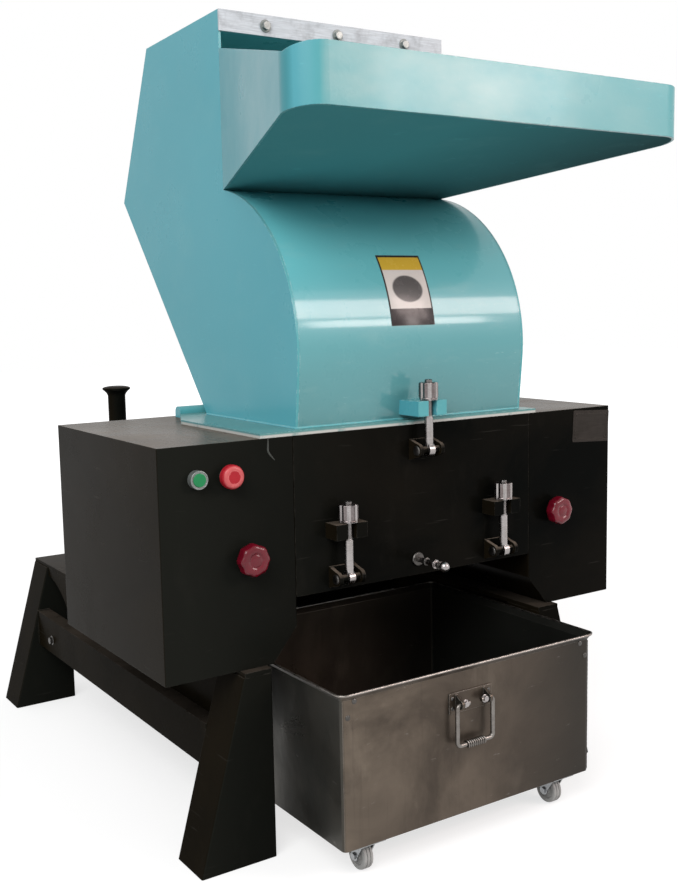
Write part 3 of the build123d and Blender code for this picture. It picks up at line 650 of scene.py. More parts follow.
def black_enamel(base, name="Black enamel", haze=0.5, specular=0.015, dust=1.0):
    """Gloss black enamel with a brown haze, painted warm light on the faces looking along -X, wiped dust,
    fine scratches and greyed edges.
    """
    finish = Finish(name, base, specular=specular)
    haze_cloud = finish.cloud(3.1, 5, 0.6, 0.40, 0.72, distortion=0.5)
    finish.lay(WARM_HAZE, haze_cloud, haze)
    # Painted light: faces looking along -X get a warm, lighter tone, patchy with the haze.
    finish.lay(PAINTED_LEFT_LIGHT, finish.facing("X", -0.3, -0.9), finish.spread(haze_cloud, 0, 1, 0.55, 1.0))
    finish.lay(HAND_MARKS, finish.facing("Y", -0.3, -0.9), finish.spread(finish.along("X"), -0.10, -0.46))
    finish.lay(WIPED_DUST, finish.cloud(16, 6, 0.68, 0.58, 0.80, 0.0, 0.08, stretch=(1.0, 1.0, 0.4)))
    finish.lay(SPECK, finish.specks(190, 0.045, 0.30))
    finish.lay(HAIR_SCRATCH, finish.cloud(42, 2, 0.5, 0.70, 0.76, 0.0, 0.18, stretch=(0.25, 0.25, 5.0)))
    drift = finish.cloud(11, 6, 0.7, 0.35, 0.80, 0.25, 0.60)
    finish.lay(BROWN_DUST, finish.facing("Z", 0.3, 0.95), drift, dust)
    finish.lay(GREYED_EDGE, finish.edges(2.2 * MM), finish.cloud(70, 5, 0.7, 0.42, 0.62), 0.50)
    finish.relief((finish.noise(2.6, 3), 1.2 * MM), (finish.noise(150, 2), 0.07 * MM), corner=1.6 * MM)
    return finish.done(finish.cloud(5.5, 6, 0.62, 0.3, 0.72, 0.18, 0.36))


def bare_steel(base, name, dirt=(0.16, 0.13, 0.10), rough=(0.16, 0.36), grain=(1, 1, 18), oil=0.35,
               metallic=1.0):
    """Machined or plated steel: brushed lines, oily dirt in the hollows and brighter edges."""
    finish = Finish(name, shade(base, 0.80), metallic=metallic)
    lines = finish.noise(90, 3, 0.6, stretch=grain)
    finish.lay(shade(base, 1.12), finish.spread(lines, 0.3, 0.7))
    finish.lay(dirt, finish.cloud(38, 5, 0.65, 0.48, 0.78, 0.0, oil))
    finish.lay(shade(base, 1.4), finish.edges(1.2 * MM), 0.7)
    finish.relief((lines, 0.04 * MM), (finish.noise(300, 2), 0.03 * MM), corner=0.8 * MM)
    return finish.done(finish.cloud(55, 4, 0.6, 0.3, 0.7, *rough))


def rolled_sheet(base, edge):
    """Oiled dark rolled steel of the bin: brown and grey clouds, rubbed patches partly painted as light on
    the left, painted shade towards the right and on the left side, runs and scratches.
    """
    finish = Finish("Bin steel", shade(base, 0.62), metallic=0.72, specular=0.4)
    cloud = finish.noise(3.4, 6, 0.58, distortion=0.9)
    finish.lay(shade(base, 1.30), finish.spread(cloud, 0.36, 0.66))
    rubbed = {"stretch": (1.6, 1.6, 0.8), "distortion": 0.7}
    finish.lay((0.20, 0.165, 0.13), finish.cloud(5.2, 5, 0.62, 0.56, 0.72, 0.0, 0.42, **rubbed))
    # Partly rubbed patches and partly painted light: paler brown on the left, fading out towards the middle.
    rubbed_and_lit_left = finish.spread(finish.along("X"), -0.27, 0.10, 0.42, 0.0)
    finish.lay((0.26, 0.215, 0.165), rubbed_and_lit_left, finish.spread(cloud, 0.30, 0.60))
    # Painted shade: darker towards the right end.
    finish.lay((0.024, 0.021, 0.017), finish.spread(finish.along("X"), -0.06, 0.24, 0.0, 0.88))
    # Painted shade: faces looking along -X are darkened, as the left side falls dark.
    finish.lay((0.028, 0.032, 0.029), finish.facing("X", -0.4, -0.9), 0.75)
    finish.lay(shade(base, 0.45), finish.cloud(30, 4, 0.6, 0.60, 0.78, 0.0, 0.30, stretch=(2.6, 2.6, 0.12)))
    finish.lay((0.020, 0.016, 0.012), finish.specks(42, 0.05, 0.7))
    scratched = {"stretch": (0.5, 0.5, 2.4), "distortion": 0.6}
    finish.lay(edge, finish.cloud(64, 4, 0.6, 0.68, 0.76, 0.0, 0.3, **scratched))
    finish.lay(edge, finish.edges(2.0 * MM), finish.cloud(45, 4, 0.6, 0.30, 0.60), 0.8)
    finish.relief((cloud, 1.6 * MM), (finish.noise(120, 3, 0.6), 0.06 * MM), corner=1.2 * MM)
    return finish.done(finish.cloud(6.5, 6, 0.6, 0.32, 0.70, 0.26, 0.50, distortion=0.6))


def moulded(base, name, rough=(0.24, 0.40), grain=240, coat=0.08):
    """Moulded plastic or print: slight colour drift, fine grain, scuffs and paler edges."""
    finish = Finish(name, shade(base, 0.82), coat=coat, coat_roughness=0.12, specular=0.26)
    finish.lay(shade(base, 1.15), finish.cloud(26, 4, 0.55, 0.3, 0.7))
    finish.lay(shade(base, 0.40), finish.cloud(70, 5, 0.7, 0.56, 0.80, 0.0, 0.35))
    finish.lay(shade(base, 1.9), finish.edges(1.0 * MM), 0.35)
    finish.relief((finish.noise(grain, 3), 0.05 * MM), corner=0.6 * MM)
    return finish.done(finish.cloud(45, 5, 0.6, 0.3, 0.7, *rough))


def button_face(base, band, button):
    """Moulded red head with a paler printed ring about its axis, between half and nine tenths out."""
    finish = Finish("Signal red plastic", shade(base, 0.90), coat=0.05, specular=0.2)
    radius = (button.high[0] - button.low[0]) / 2
    sides = [
        finish.maths("POWER", finish.maths("SUBTRACT", finish.along(axis), button.centre[k]), 2.0)
        for axis, k in (("X", 0), ("Z", 2))
    ]
    out = finish.maths("SQRT", finish.maths("ADD", *sides))
    drift = finish.cloud(90, 4, 0.6, 0.3, 0.7)
    finish.lay(shade(base, 1.08), drift)
    ring = finish.spread(out, radius * 0.50, radius * 0.56), finish.spread(out, radius * 0.94, radius * 0.86)
    finish.lay(band, *ring, finish.spread(drift, 0, 1, 0.45, 0.65))
    finish.lay(band, finish.edges(1.0 * MM), 0.3)
    finish.relief((finish.noise(260, 3), 0.04 * MM), corner=0.6 * MM)
    return finish.done(finish.spread(drift, 0, 1, 0.30, 0.42))


def label_paper(sizes):
    """Blank label film: yellow head band, pale field with a plain dark oval, dark foot band and border."""
    half = sizes.label_width / 2
    finish = Finish("Label film", (0.60, 0.56, 0.53), coat=0.12, coat_roughness=0.15, specular=0.2)
    share = finish.spread(finish.along("Z"), sizes.label_low, sizes.label_high)
    sideways = finish.maths("ABSOLUTE", finish.maths("SUBTRACT", finish.along("X"), sizes.label_shift))
    dusty = finish.cloud(55, 5, 0.65, 0.45, 0.80, 0.0, 0.25)
    finish.lay((0.40, 0.37, 0.34), dusty)
    wide = finish.maths("DIVIDE", sideways, half * 0.72)
    tall = finish.maths("DIVIDE", finish.maths("SUBTRACT", share, 0.52), 0.20)
    reach = finish.maths("ADD", *(finish.maths("MULTIPLY", part, part) for part in (wide, tall)))
    finish.lay((0.030, 0.028, 0.030), finish.spread(reach, 0.80, 1.0, 1.0, 0.0), 0.9)
    finish.lay((0.024, 0.018, 0.019), finish.spread(share, 0.235, 0.245, 1.0, 0.0))
    finish.lay((0.54, 0.36, 0.040), finish.spread(share, 0.785, 0.795))
    finish.lay(LABEL_INK, finish.spread(sideways, half - 3.4 * MM, half - 2.8 * MM))
    finish.lay(LABEL_INK, finish.spread(share, 0.970, 0.975))
    finish.lay((0.30, 0.28, 0.25), finish.edges(1.2 * MM), 0.4)
    finish.relief((finish.noise(35, 3), 0.3 * MM))
    return finish.done(finish.spread(dusty, 0, 0.25, 0.22, 0.40))


FINISHES = {}


def finishes():
    """All finishes, made once and kept by name."""
    if not FINISHES:
        hue = bpy.context.scene.crusher_colours
        blue, bright, edge, zinc = hue.turquoise, hue.bright_steel, tuple(hue.bin_edge), tuple(hue.zinc)
        even = (1, 1, 1)
        fine = (3, 3, 3)
        FINISHES.update(
            turquoise=turquoise_enamel(blue),
            back=turquoise_enamel(blue, "Back enamel", inner="Z"),
            right=turquoise_enamel(blue, "Right side enamel", inner="X"),
            curved=curved_enamel(blue),
            # The flange's foot height sets where its painted edge highlight lies.
            flange=turquoise_enamel(
                shade(blue, 0.90, 0.66, 0.60), "Flange enamel", 0.1, 0.15, 0.22, span("hopper_flange").low[2]
            ),
            # The tray takes pale patches and specks of painted glare on its lip, and painted shade on its
            # side wall.
            tray=turquoise_enamel(shade(blue, 0.95), "Tray enamel", 0.4, 0.22, 0.26, smudge_glare_and_side_shade=0.55),
            # Painted highlight: the tray's seam beads take a pale copy of the enamel.
            bead=turquoise_enamel(shade(blue, 2.4, 1.5, 1.35), "Seam enamel with painted highlight", 0.4, 0.3, 0.3),
            # The tray floor's underside gets painted shade towards its right end.
            tray_floor=turquoise_enamel(shade(blue, 0.92), "Tray floor enamel", 0.4, 0.0, 0.0, painted_underside_shade=0.85),
            black=black_enamel(tuple(hue.black)),
            frame=black_enamel(shade(hue.black, 1.2), "Frame enamel", 0.55, 0.004, 0.3),
            steel=bare_steel(bright, "Bright steel"),
            nut=bare_steel(
                shade(bright, 0.52, 0.48, 0.48), "Nut steel", (0.09, 0.055, 0.05), (0.22, 0.40), fine, 0.7
            ),
            bezel=bare_steel(
                shade(zinc, 0.62, 0.66, 0.62), "Bezel steel", (0.10, 0.10, 0.09), (0.30, 0.5), fine, 0.5, 0.5
            ),
            dark_steel=bare_steel(
                (0.10, 0.095, 0.09), "Oiled steel", (0.02, 0.018, 0.015), (0.28, 0.5), even, 0.6
            ),
            zinc=bare_steel(zinc, "Zinc plating", (0.30, 0.29, 0.27), (0.24, 0.42), fine, 0.4),
            strip=bare_steel(
                hue.strip, "Strip steel", (0.20, 0.21, 0.225), (0.50, 0.66), (0.3, 6, 6), 0.65, 0.0
            ),
            bin=rolled_sheet(hue.bin_steel, edge),
            bail=bare_steel(shade(edge, 0.72), "Bail steel", (0.07, 0.05, 0.04), (0.20, 0.38), even, 0.7),
            bin_edge=bare_steel(edge, "Rubbed edge", (0.12, 0.09, 0.065), (0.24, 0.42), even, 0.6),
            wheel=moulded(hue.wheel, "Wheel plastic", (0.38, 0.58), 180, 0.0),
            red=moulded(hue.red, "Red plastic", (0.16, 0.30), coat=0.25),
            signal=button_face(hue.signal_red, PRINTED_PINK, span("stop_button")),
            arrow=moulded(PRINTED_PINK, "Arrow print", (0.30, 0.45)),
            green=moulded(hue.green, "Green plastic", (0.22, 0.36)),
            plate=bare_steel(
                (0.030, 0.026, 0.023), "Rating plate", (0.018, 0.016, 0.013), (0.40, 0.6), (0.3, 4, 4), 0.7
            ),
            primer=moulded((0.050, 0.054, 0.048), "Dried primer", (0.45, 0.65), 300, 0.0),
            label=label_paper(bpy.context.scene.crusher_hopper),
        )
    return FINISHES


def dress(finish, *nodes):
    """Give frame nodes a finish."""
    for node in nodes:
        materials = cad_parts[node].data.materials
        materials.clear()
        materials.append(finishes()[finish])


# Operators


class CRUSHER_OT_base(Operator):
    """Dress the legs, rails and deck, and lay their welds and bolts"""

    bl_idname = "crusher.base"
    bl_label = "Base frame"

    def execute(self, context):
        hopper = context.scene.crusher_hopper
        bead = hopper.weld_radius, hopper.weld_ripple
        legs = [f"{side}_{end}_leg" for side in ("left", "right") for end in ("front", "rear")]
        dress("frame", *legs, "top_side_rails", "low_side_rails", "cross_rails", "deck")
        rails = span("low_side_rails")
        middle, reach, overlap = -12 * MM, 385 * MM, 30 * MM
        beads = Surface()
        for leg in legs:
            box = span(leg)
            side = math.copysign(1, box.centre[0])
            inner = box.high[0] if side < 0 else box.low[0]
            face = box.low[1] if "rear" in leg else box.high[1]
            head = box.high[2] - MM
            outer = inner + side * (context.scene.crusher_body.leg_head - MM)
            beads.bead([(inner, face, head), (outer, face, head)], UP, *bead)
            out = middle + side * reach
            top = rails.high[2]
            corners = [(out, face, rails.low[2]), (out, face, top), (out - side * overlap, face, top)]
            beads.bead(corners, (side * 0.3, 1, 0.2), *bead)
        beads.piece("frame_welds", "machine", "frame", "black_enamel")
        bolts = Surface()
        from_rear, below, radius, height = mm((93, 8, 8, 6))
        for x, way in ((rails.low[0], -1), (rails.high[0], 1)):
            place = (x, rails.high[1] - from_rear, rails.centre[2] - below)
            hex_screw(bolts, place, (way, 0, 0), radius, height)
        bolts.piece("rail_bolts", "machine", "dark_steel", "bin_steel")
        return {"FINISHED"}


class CRUSHER_OT_body(Operator):
    """Dress the housings and the chamber, and fix the blank rating plate"""

    bl_idname = "crusher.body"
    bl_label = "Body"

    def execute(self, context):
        housings = "left_housing", "right_housing", "cutting_chamber", "front_plate", "rear_panel"
        dress("black", *housings, "cover_lugs", "bolt_ears")
        sizes = context.scene.crusher_body
        thick = sizes.plate_thickness
        steps = ((0, 0), (0, thick * 0.7), (thick * 0.3, thick), (sizes.plate_corner * 0.9, thick))
        plate = Surface().add(np.stack([self.outline(sizes, inset, out) for inset, out in steps]))
        for inset in (4 * MM, 6.5 * MM):
            plate.hoop(self.outline(sizes, inset, thick), 0.35 * MM, BACK)
        inset = 9 * MM
        ends = np.array(CORNERS) * (sizes.plate_width / 2 - inset, sizes.plate_height / 2 - inset)
        for place in self.on_front(sizes, ends, thick):
            plate.turn(dome(2.2 * MM, 1.1 * MM), place, FRONT, 24)
        plate.piece("rating_plate", "machine", "plate", "bin_steel")
        return {"FINISHED"}

    @staticmethod
    def on_front(sizes, flat, out):
        """Points (x, z) of the leaning plate, from its middle, stood out from the housing's front."""
        housing = span("right_housing")
        lean = np.array(Matrix.Rotation(sizes.plate_lean, 2))
        x, z = (flat @ lean.T).T
        x += housing.high[0] - 3 * MM - sizes.plate_width / 2
        z += housing.high[2] - 6 * MM - sizes.plate_height / 2
        return np.stack([x, np.full(len(x), housing.low[1] - out), z], axis=1)

    def outline(self, sizes, inset, out):
        """The plate's rounded outline, drawn in by inset and stood out."""
        wide, high = sizes.plate_width - 2 * inset, sizes.plate_height - 2 * inset
        return self.on_front(sizes, rounded_ring((0, 0, 0), wide, high, sizes.plate_corner, 6)[:, :2], out)


class CRUSHER_OT_hopper(Operator):
    """Dress the hopper, and lay its welds, strip bolts and blank label"""

    bl_idname = "crusher.hopper"
    bl_label = "Hopper"

    def execute(self, context):
        hopper = context.scene.crusher_hopper
        dress("turquoise", "hopper_left_side", "hopper_lug", "hopper_hinge")
        dress("right", "hopper_right_side")
        dress("back", "hopper_back")
        dress("curved", "hopper_front")
        dress("flange", "hopper_flange")
        dress("strip", "mouth_strip")
        self.welds(hopper)
        self.strip_bolts(hopper)
        self.label(hopper)
        self.drip()
        return {"FINISHED"}

    @staticmethod
    def welds(hopper):
        """Beads in the flange's corner, along the four sides of the hopper's foot."""
        left, right = span("hopper_left_side").low[0], span("hopper_right_side").high[0]
        foot = span("hopper_flange").high[2] + 0.6 * MM
        front, rear = span("hopper_left_side").low[1] + 11.5 * MM, -41 * MM
        beads = Surface()
        for start, end in (
            ((left, front), (right, front)), ((left, front), (left, rear)),
            ((right, front), (right, rear)), ((left, rear), (right, rear)),
        ):
            beads.bead([(*start, foot), (*end, foot)], UP, hopper.weld_radius, hopper.weld_ripple)
        beads.piece("hopper_foot_welds", "machine", "turquoise", "turquoise_enamel")

    @staticmethod
    def strip_bolts(hopper):
        """Six-sided heads on washers through the bright strip."""
        strip = span("mouth_strip")
        bolts = Surface()
        for step in (-1, 0, 1):
            place = (strip.centre[0] + step * hopper.strip_bolt_step, strip.low[1], strip.centre[2] - MM)
            hex_screw(bolts, place, FRONT, hopper.strip_bolt_radius, 6.5 * MM)
        bolts.piece("strip_bolts", "machine", "bezel", "zinc")

    @staticmethod
    def label(hopper):
        """Label film on the curved front, an arc carried along X.

        Point = (x, hub y - reach * cos a, hub z + reach * sin a), where reach is the front's
        radius, and a little more where the film's outline stands out.
        """
        radius = hopper.bulge_radius
        heights = np.array([hopper.label_low, hopper.label_high]) - hopper.bulge_height
        turn = np.linspace(*np.arcsin(heights / radius), 40)
        outline = ((-1, 0.0), (-1, 0.35), (-0.992, 0.5), (0.992, 0.5), (1, 0.35), (1, 0.0))
        side, out = np.array(outline).T
        reach = radius + out[None] * MM
        x = hopper.label_shift + side[None] * hopper.label_width / 2 + 0 * turn[:, None]
        y = span("hopper_left_side").low[1] + radius - reach * np.cos(turn)[:, None]
        z = hopper.bulge_height + reach * np.sin(turn)[:, None]
        film = Surface().add(np.stack([x, y, z], axis=-1))
        film.piece("blank_label", "machine", "label", "grey_plastic")

    @staticmethod
    def drip():
        """Pale paint drip under the flange: a half-sunk tube of radius 0.7 + 1.1 sin(pi s) mm."""
        front = span("left_housing").low[1]
        route = ((-302.0, 719.0), (-303.0, 699.0), (-300.0, 693.0), (-290.5, 682.5))
        path = walk([(x * MM, front, z * MM) for x, z in route], MM)
        share = np.linspace(0, 1, len(path))
        run = Surface().add(tube(path, MM * (0.7 + 1.1 * np.sin(math.pi * share)), BACK, 10))
        run.piece("paint_drip", "machine", "primer", "grey_plastic")


class CRUSHER_OT_tray(Operator):
    """Dress the feed tray and lay its seams"""

    bl_idname = "crusher.tray"
    bl_label = "Feed tray"

    def execute(self, context):
        hopper = context.scene.crusher_hopper
        dress("tray", "tray_band")
        dress("tray_floor", "tray_floor")
        band = span("tray_band")
        radius = hopper.weld_radius * 0.6
        sunk, foot, head = mm((0.4, 1221, 1302))
        front = band.low[1] + radius + sunk
        seams = Surface()
        for x in (band.low[0] + hopper.lip_corner, band.high[0] - hopper.lip_corner):
            seams.bead([(x, front, foot), (x, front, head)], RIGHT, radius, hopper.weld_ripple)
        # The seams take the pale finish with its painted highlight.
        seams.piece("tray_seams", "machine", "bead", "turquoise_enamel")
        return {"FINISHED"}


class CRUSHER_OT_clamps(Operator):
    """Dress the swing bolts with six-sided nuts, collars, threads and pin heads"""

    bl_idname = "crusher.clamps"
    bl_label = "Swing-bolt clamps"

    def execute(self, context):
        clamps = context.scene.crusher_clamps
        dress("steel", "top_swing_bolt", "left_swing_bolt", "right_swing_bolt", "pull_rod")
        pins = Surface()
        for side in ("top", "left", "right"):
            bolt = span(f"{side}_swing_bolt")
            self.nut_and_thread(side, bolt, clamps)
            for way in SIDES:
                x = bolt.centre[0] + way * clamps.pin_reach
                place = (x, bolt.centre[1], bolt.low[2] + clamps.eye_radius)
                pins.turn(dome(clamps.pin_head, 2.6 * MM, 1.2 * MM), place, (way, 0, 0), 32)
        pins.piece("pin_heads", "machine", "dark_steel", "bin_steel")
        return {"FINISHED"}

    @staticmethod
    def nut_and_thread(side, bolt, clamps):
        """Nut with a rounded collar under it, and the thread through it.

        Thread radius = outer - depth * |2 * (height / pitch - turn / full turn mod 1) - 1|.
        """
        x, y, top = bolt.centre[0], bolt.centre[1], bolt.high[2]
        seat = top - clamps.stud_end - clamps.nut_height
        collar, flats = clamps.collar, clamps.nut_flats
        sunk = collar * 0.8
        ring = [(0.45, 0.05 * MM), (0.53, 0.8 * MM), (0.56, collar * 0.6), (0.53, collar)]
        head = Surface().turn([(share * flats, level) for share, level in ring], (x, y, seat), UP)
        head.add(nut((x, y, seat + sunk), UP, flats * 1.02, clamps.nut_height - sunk + 0.3 * MM))
        head.piece(f"{side}_clamp_nut", f"{side}_bolt", "nut", "bright_steel")

        outer, end = clamps.thread_radius, top + 0.6 * MM
        levels = np.arange(seat - clamps.thread_length + 1.2 * MM, end, clamps.thread_pitch / 8)

        def ridge(turn, level):
            phase = np.mod(level / clamps.thread_pitch - turn / TAU, 1.0)
            fade = np.clip((end - level) / (1.2 * MM), 0, 1)
            return (outer - clamps.thread_depth * np.abs(2 * phase - 1) - 0.8 * MM * (1 - fade)) / outer

        thread = Surface().turn([(outer, level) for level in levels], (x, y, 0), UP, 40, ridge)
        thread.piece(f"{side}_clamp_thread", f"{side}_bolt", "dark_steel", "bright_steel", 60)


class CRUSHER_OT_controls(Operator):
    """Dress the buttons, the hand knobs and the pull rod's collars"""

    bl_idname = "crusher.controls"
    bl_label = "Controls"

    def execute(self, context):
        controls = context.scene.crusher_controls
        dress("bezel", "control_bezels")
        dress("green", "start_button")
        dress("signal", "stop_button")
        dress("red", "left_knob", "right_knob")
        self.bezel(controls)
        self.arrows(controls)
        for side in ("left", "right"):
            self.knob(side, controls)
        self.collars()
        return {"FINISHED"}

    @staticmethod
    def collars():
        """Seat ring at the pull rod's root and two collars along it."""
        rod = span("pull_rod")
        collar = mm([(5, 0), (7.4, 0.8), (7.4, 4.2), (5, 5)])
        seat = mm([(13, 0), (13, 2.5), (11.5, 4), (7, 4.2)])
        rings = Surface()
        for profile, out, count in ((collar, 24, 32), (collar, 62, 32), (seat, 0, 40)):
            rings.turn(profile, (rod.centre[0], rod.high[1] - out * MM, rod.centre[2]), FRONT, count)
        rings.piece("pull_rod_collars", "machine", "dark_steel", "bin_steel")

    @staticmethod
    def bezel(controls):
        """Rolled lip on the start button's bezel: half a circle of the lip's radius swept about the axis."""
        start = span("start_button").centre
        front = span("left_housing").low[1]
        reach = front - span("control_bezels").low[1]
        outer, lip = controls.bezel_radius, controls.bezel_lip
        profile = [(outer + lip * 0.4, reach - 3 * MM)]
        for t in np.linspace(-0.4, math.pi, 10):
            profile.append((outer - lip * 0.6 + lip * math.cos(t), reach - lip * 0.2 + lip * math.sin(t)))
        ring = Surface().turn(profile, (start[0], front, start[2]), FRONT, 72, ends=False)
        ring.piece("bezel_rings", "machine", "bezel", "bright_steel")

    @staticmethod
    def arrows(controls):
        """Three raised turning arrows: a band of half width w(s) about a circle.

        w is steady for two thirds of the arc, widens at the barb and falls to nothing at the
        tip. Height above the head follows the head's dome.
        """
        button = span("stop_button")
        share = np.concatenate([np.linspace(0, 0.68, 18), [0.685], np.linspace(0.69, 1.0, 10)])
        width = np.where(share < 0.684, 2.3, 3.7 * (1.0 - share) / 0.31 + 0.06) * MM
        across = np.array([-1.0, -0.9, 0.9, 1.0])
        lift = mm([0.0, 0.35, 0.35, 0.0])
        radius = controls.arrow_radius + width[:, None] * across[None]
        fall = np.clip(radius - 11.5 * MM, 0, 1) ** 2 / (12 * MM)
        y = button.low[1] + 0.25 * MM - lift[None] + fall
        marks = Surface()
        for third in range(3):
            turn = (math.radians(100 + 120 * third) - share * math.radians(104))[:, None]
            x, z = button.centre[0] + radius * np.cos(turn), button.centre[2] + radius * np.sin(turn)
            marks.add(np.stack([x, y, z], axis=-1))
        marks.piece("stop_arrows", "stop", "arrow", "red_plastic")

    @staticmethod
    def knob(side, controls):
        """Lobed knob: radius * (1 - waist * (0.5 - 0.5 cos(lobes * turn))), over a domed profile."""
        box = span(f"{side}_knob")
        front = span("left_housing").low[1]
        base = front - controls.knob_seat
        outer, deep = (box.high[0] - box.low[0]) / 2, base - box.low[1]

        def lobed(turn, level):
            rise = np.clip(level / (deep * 0.25), 0, 1)
            fall = np.clip((deep * 1.02 - level) / (deep * 0.30), 0, 1)
            hollow = 0.5 - 0.5 * np.cos(controls.knob_lobes * turn)
            return 1 - controls.knob_waist * hollow * (0.35 + 0.65 * rise * fall)

        shares = [
            (0.70, 0), (0.90, 0.02), (0.97, 0.10), (1, 0.28), (0.995, 0.62), (0.96, 0.82), (0.88, 0.93),
            (0.76, 0.985), (0.60, 1), (0.50, 0.985), (0.44, 0.93), (0.40, 0.925), (0.36, 0.95), (0.25, 0.985),
            (0.02, 1),
        ]
        profile = np.array(shares) * (outer, deep)
        cap = Surface().turn(profile, (box.centre[0], base, box.centre[2]), FRONT, 96, lobed)
        stem = mm([(13, 0), (13.2, 1), (12.4, 9), (12.6, 10.4)])
        cap.turn(stem, (box.centre[0], front - 0.3 * MM, box.centre[2]), FRONT, 40)
        piece = cap.piece(f"{side}_knob_cap", f"{side}_hand_knob", "red", "red_plastic", 50)
        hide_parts(f"{side}_knob")


class CRUSHER_OT_bin(Operator):
    """Dress the bin, and add its rubbed rim, rivets, welds and coiled handle grip"""

    bl_idname = "crusher.bin"
    bl_label = "Bin"

    def execute(self, context):
        sizes = context.scene.crusher_bin
        dress("bin", "bin_shell", "handle_ears")
        dress("bin_edge", "bin_handle")
        self.rim(sizes)
        self.front(sizes)
        self.bail(sizes)
        self.ears()
        return {"FINISHED"}

    @staticmethod
    def rim(sizes):
        """Bright bead round the flared rim."""
        shell = span("bin_shell")
        bead = sizes.rim_bead
        wide, deep = (shell.high - shell.low)[:2] - 2 * bead
        level = (*shell.centre[:2], shell.high[2] - bead * 0.9)
        ring = rounded_ring(level, wide, deep, sizes.rim_corner - bead, 30)
        Surface().hoop(ring, bead, UP, 12).piece("bin_rim_edge", "bin", "bin_edge", "bin_steel", 60)

    @staticmethod
    def front(sizes):
        """A flattened weld up each front corner, and two domed rivets through the overlap beside it."""
        shell = span("bin_shell")
        front, top = shell.low[1] + sizes.rim_flare, shell.high[2]
        inside = 2.4 * MM
        seams, heads = Surface(), Surface()
        for sx in SIDES:
            wall = (shell.low[0] if sx < 0 else shell.high[0]) - sx * sizes.rim_flare
            x, y = wall - sx * inside, front + inside
            corners = [(x, y, shell.low[2] + 2 * MM), (x, y, top - 14 * MM)]
            seams.bead(corners, RIGHT, 1.1 * MM, 9 * MM, 1.5 * MM)
            for inset, drop in mm([(24, 16), (11, 41)]):
                place = (wall - sx * inset, front, top - drop)
                heads.turn(dome(sizes.rivet_radius, 1.8 * MM), place, FRONT, 24)
        seams.piece("bin_corner_seams", "bin", "bin", "bin_steel")
        heads.piece("bin_rivets", "bin", "dark_steel", "bin_steel")

    @staticmethod
    def bail(sizes):
        """Bail rod with a coil of wire round its foot: centre + r * (cos, sin) of 2 pi * turns * s."""
        box = span("bin_handle")
        x, y = box.centre[:2]
        foot = box.low[2] + sizes.coil_radius
        half, rod, corner = sizes.coil_reach, sizes.bail_radius, sizes.bail_corner
        s = np.linspace(0, 1, sizes.coil_turns * 28)
        turn = TAU * sizes.coil_turns * s
        reach = sizes.coil_radius - sizes.coil_wire
        round_y, round_z = y + reach * np.cos(turn), foot + reach * np.sin(turn)
        coil = np.stack([x - half + 2 * half * s, round_y, round_z], axis=1)
        outer, top = (box.high[0] - box.low[0]) / 2 - rod, box.high[2] - rod
        inner = outer - corner
        bend = np.linspace(0, math.pi / 2, 9)
        right = [(outer - 26 * MM, top), (inner, top)]
        right += [(inner + corner * math.sin(t), top - corner + corner * math.cos(t)) for t in bend]
        right += [(inner + corner * math.cos(t), foot + corner - corner * math.sin(t)) for t in bend]
        right += [(half - 2 * MM, foot)]
        outline = right + [(-across, z) for across, z in reversed(right)]
        path = walk([(x + across, y, z) for across, z in outline], 1.5 * MM)
        bail = Surface().add(tube(coil, sizes.coil_wire, RIGHT, 8)).add(tube(path, rod, BACK, 16))
        piece = bail.piece("bail_and_coil", "handle", "bail", "black_enamel", 60)
        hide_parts("bin_handle")

    @staticmethod
    def ears():
        """Screws through the ears' plate, and the nuts that the bail turns on."""
        box = span("handle_ears")
        x, z = box.centre[0], box.centre[2]
        plate = box.high[1] - 2 * MM
        pivot = span("bin_handle").centre[1] - 0.2 * MM
        screws, nuts = Surface(), Surface()
        for sx, sz in CORNERS:
            place = (x + sx * 40 * MM, plate, z + sz * 9 * MM)
            screws.turn(dome(3.6 * MM, 1.7 * MM, 0.4 * MM), place, FRONT, 24)
        for sx in SIDES:
            hex_screw(nuts, (x + sx * 21.5 * MM, pivot, z), (0, -1, 0.12), 5.2 * MM, 4.5 * MM)
        screws.piece("handle_screws", "bin", "dark_steel", "bin_steel")
        nuts.piece("handle_nuts", "bin", "steel", "bright_steel")


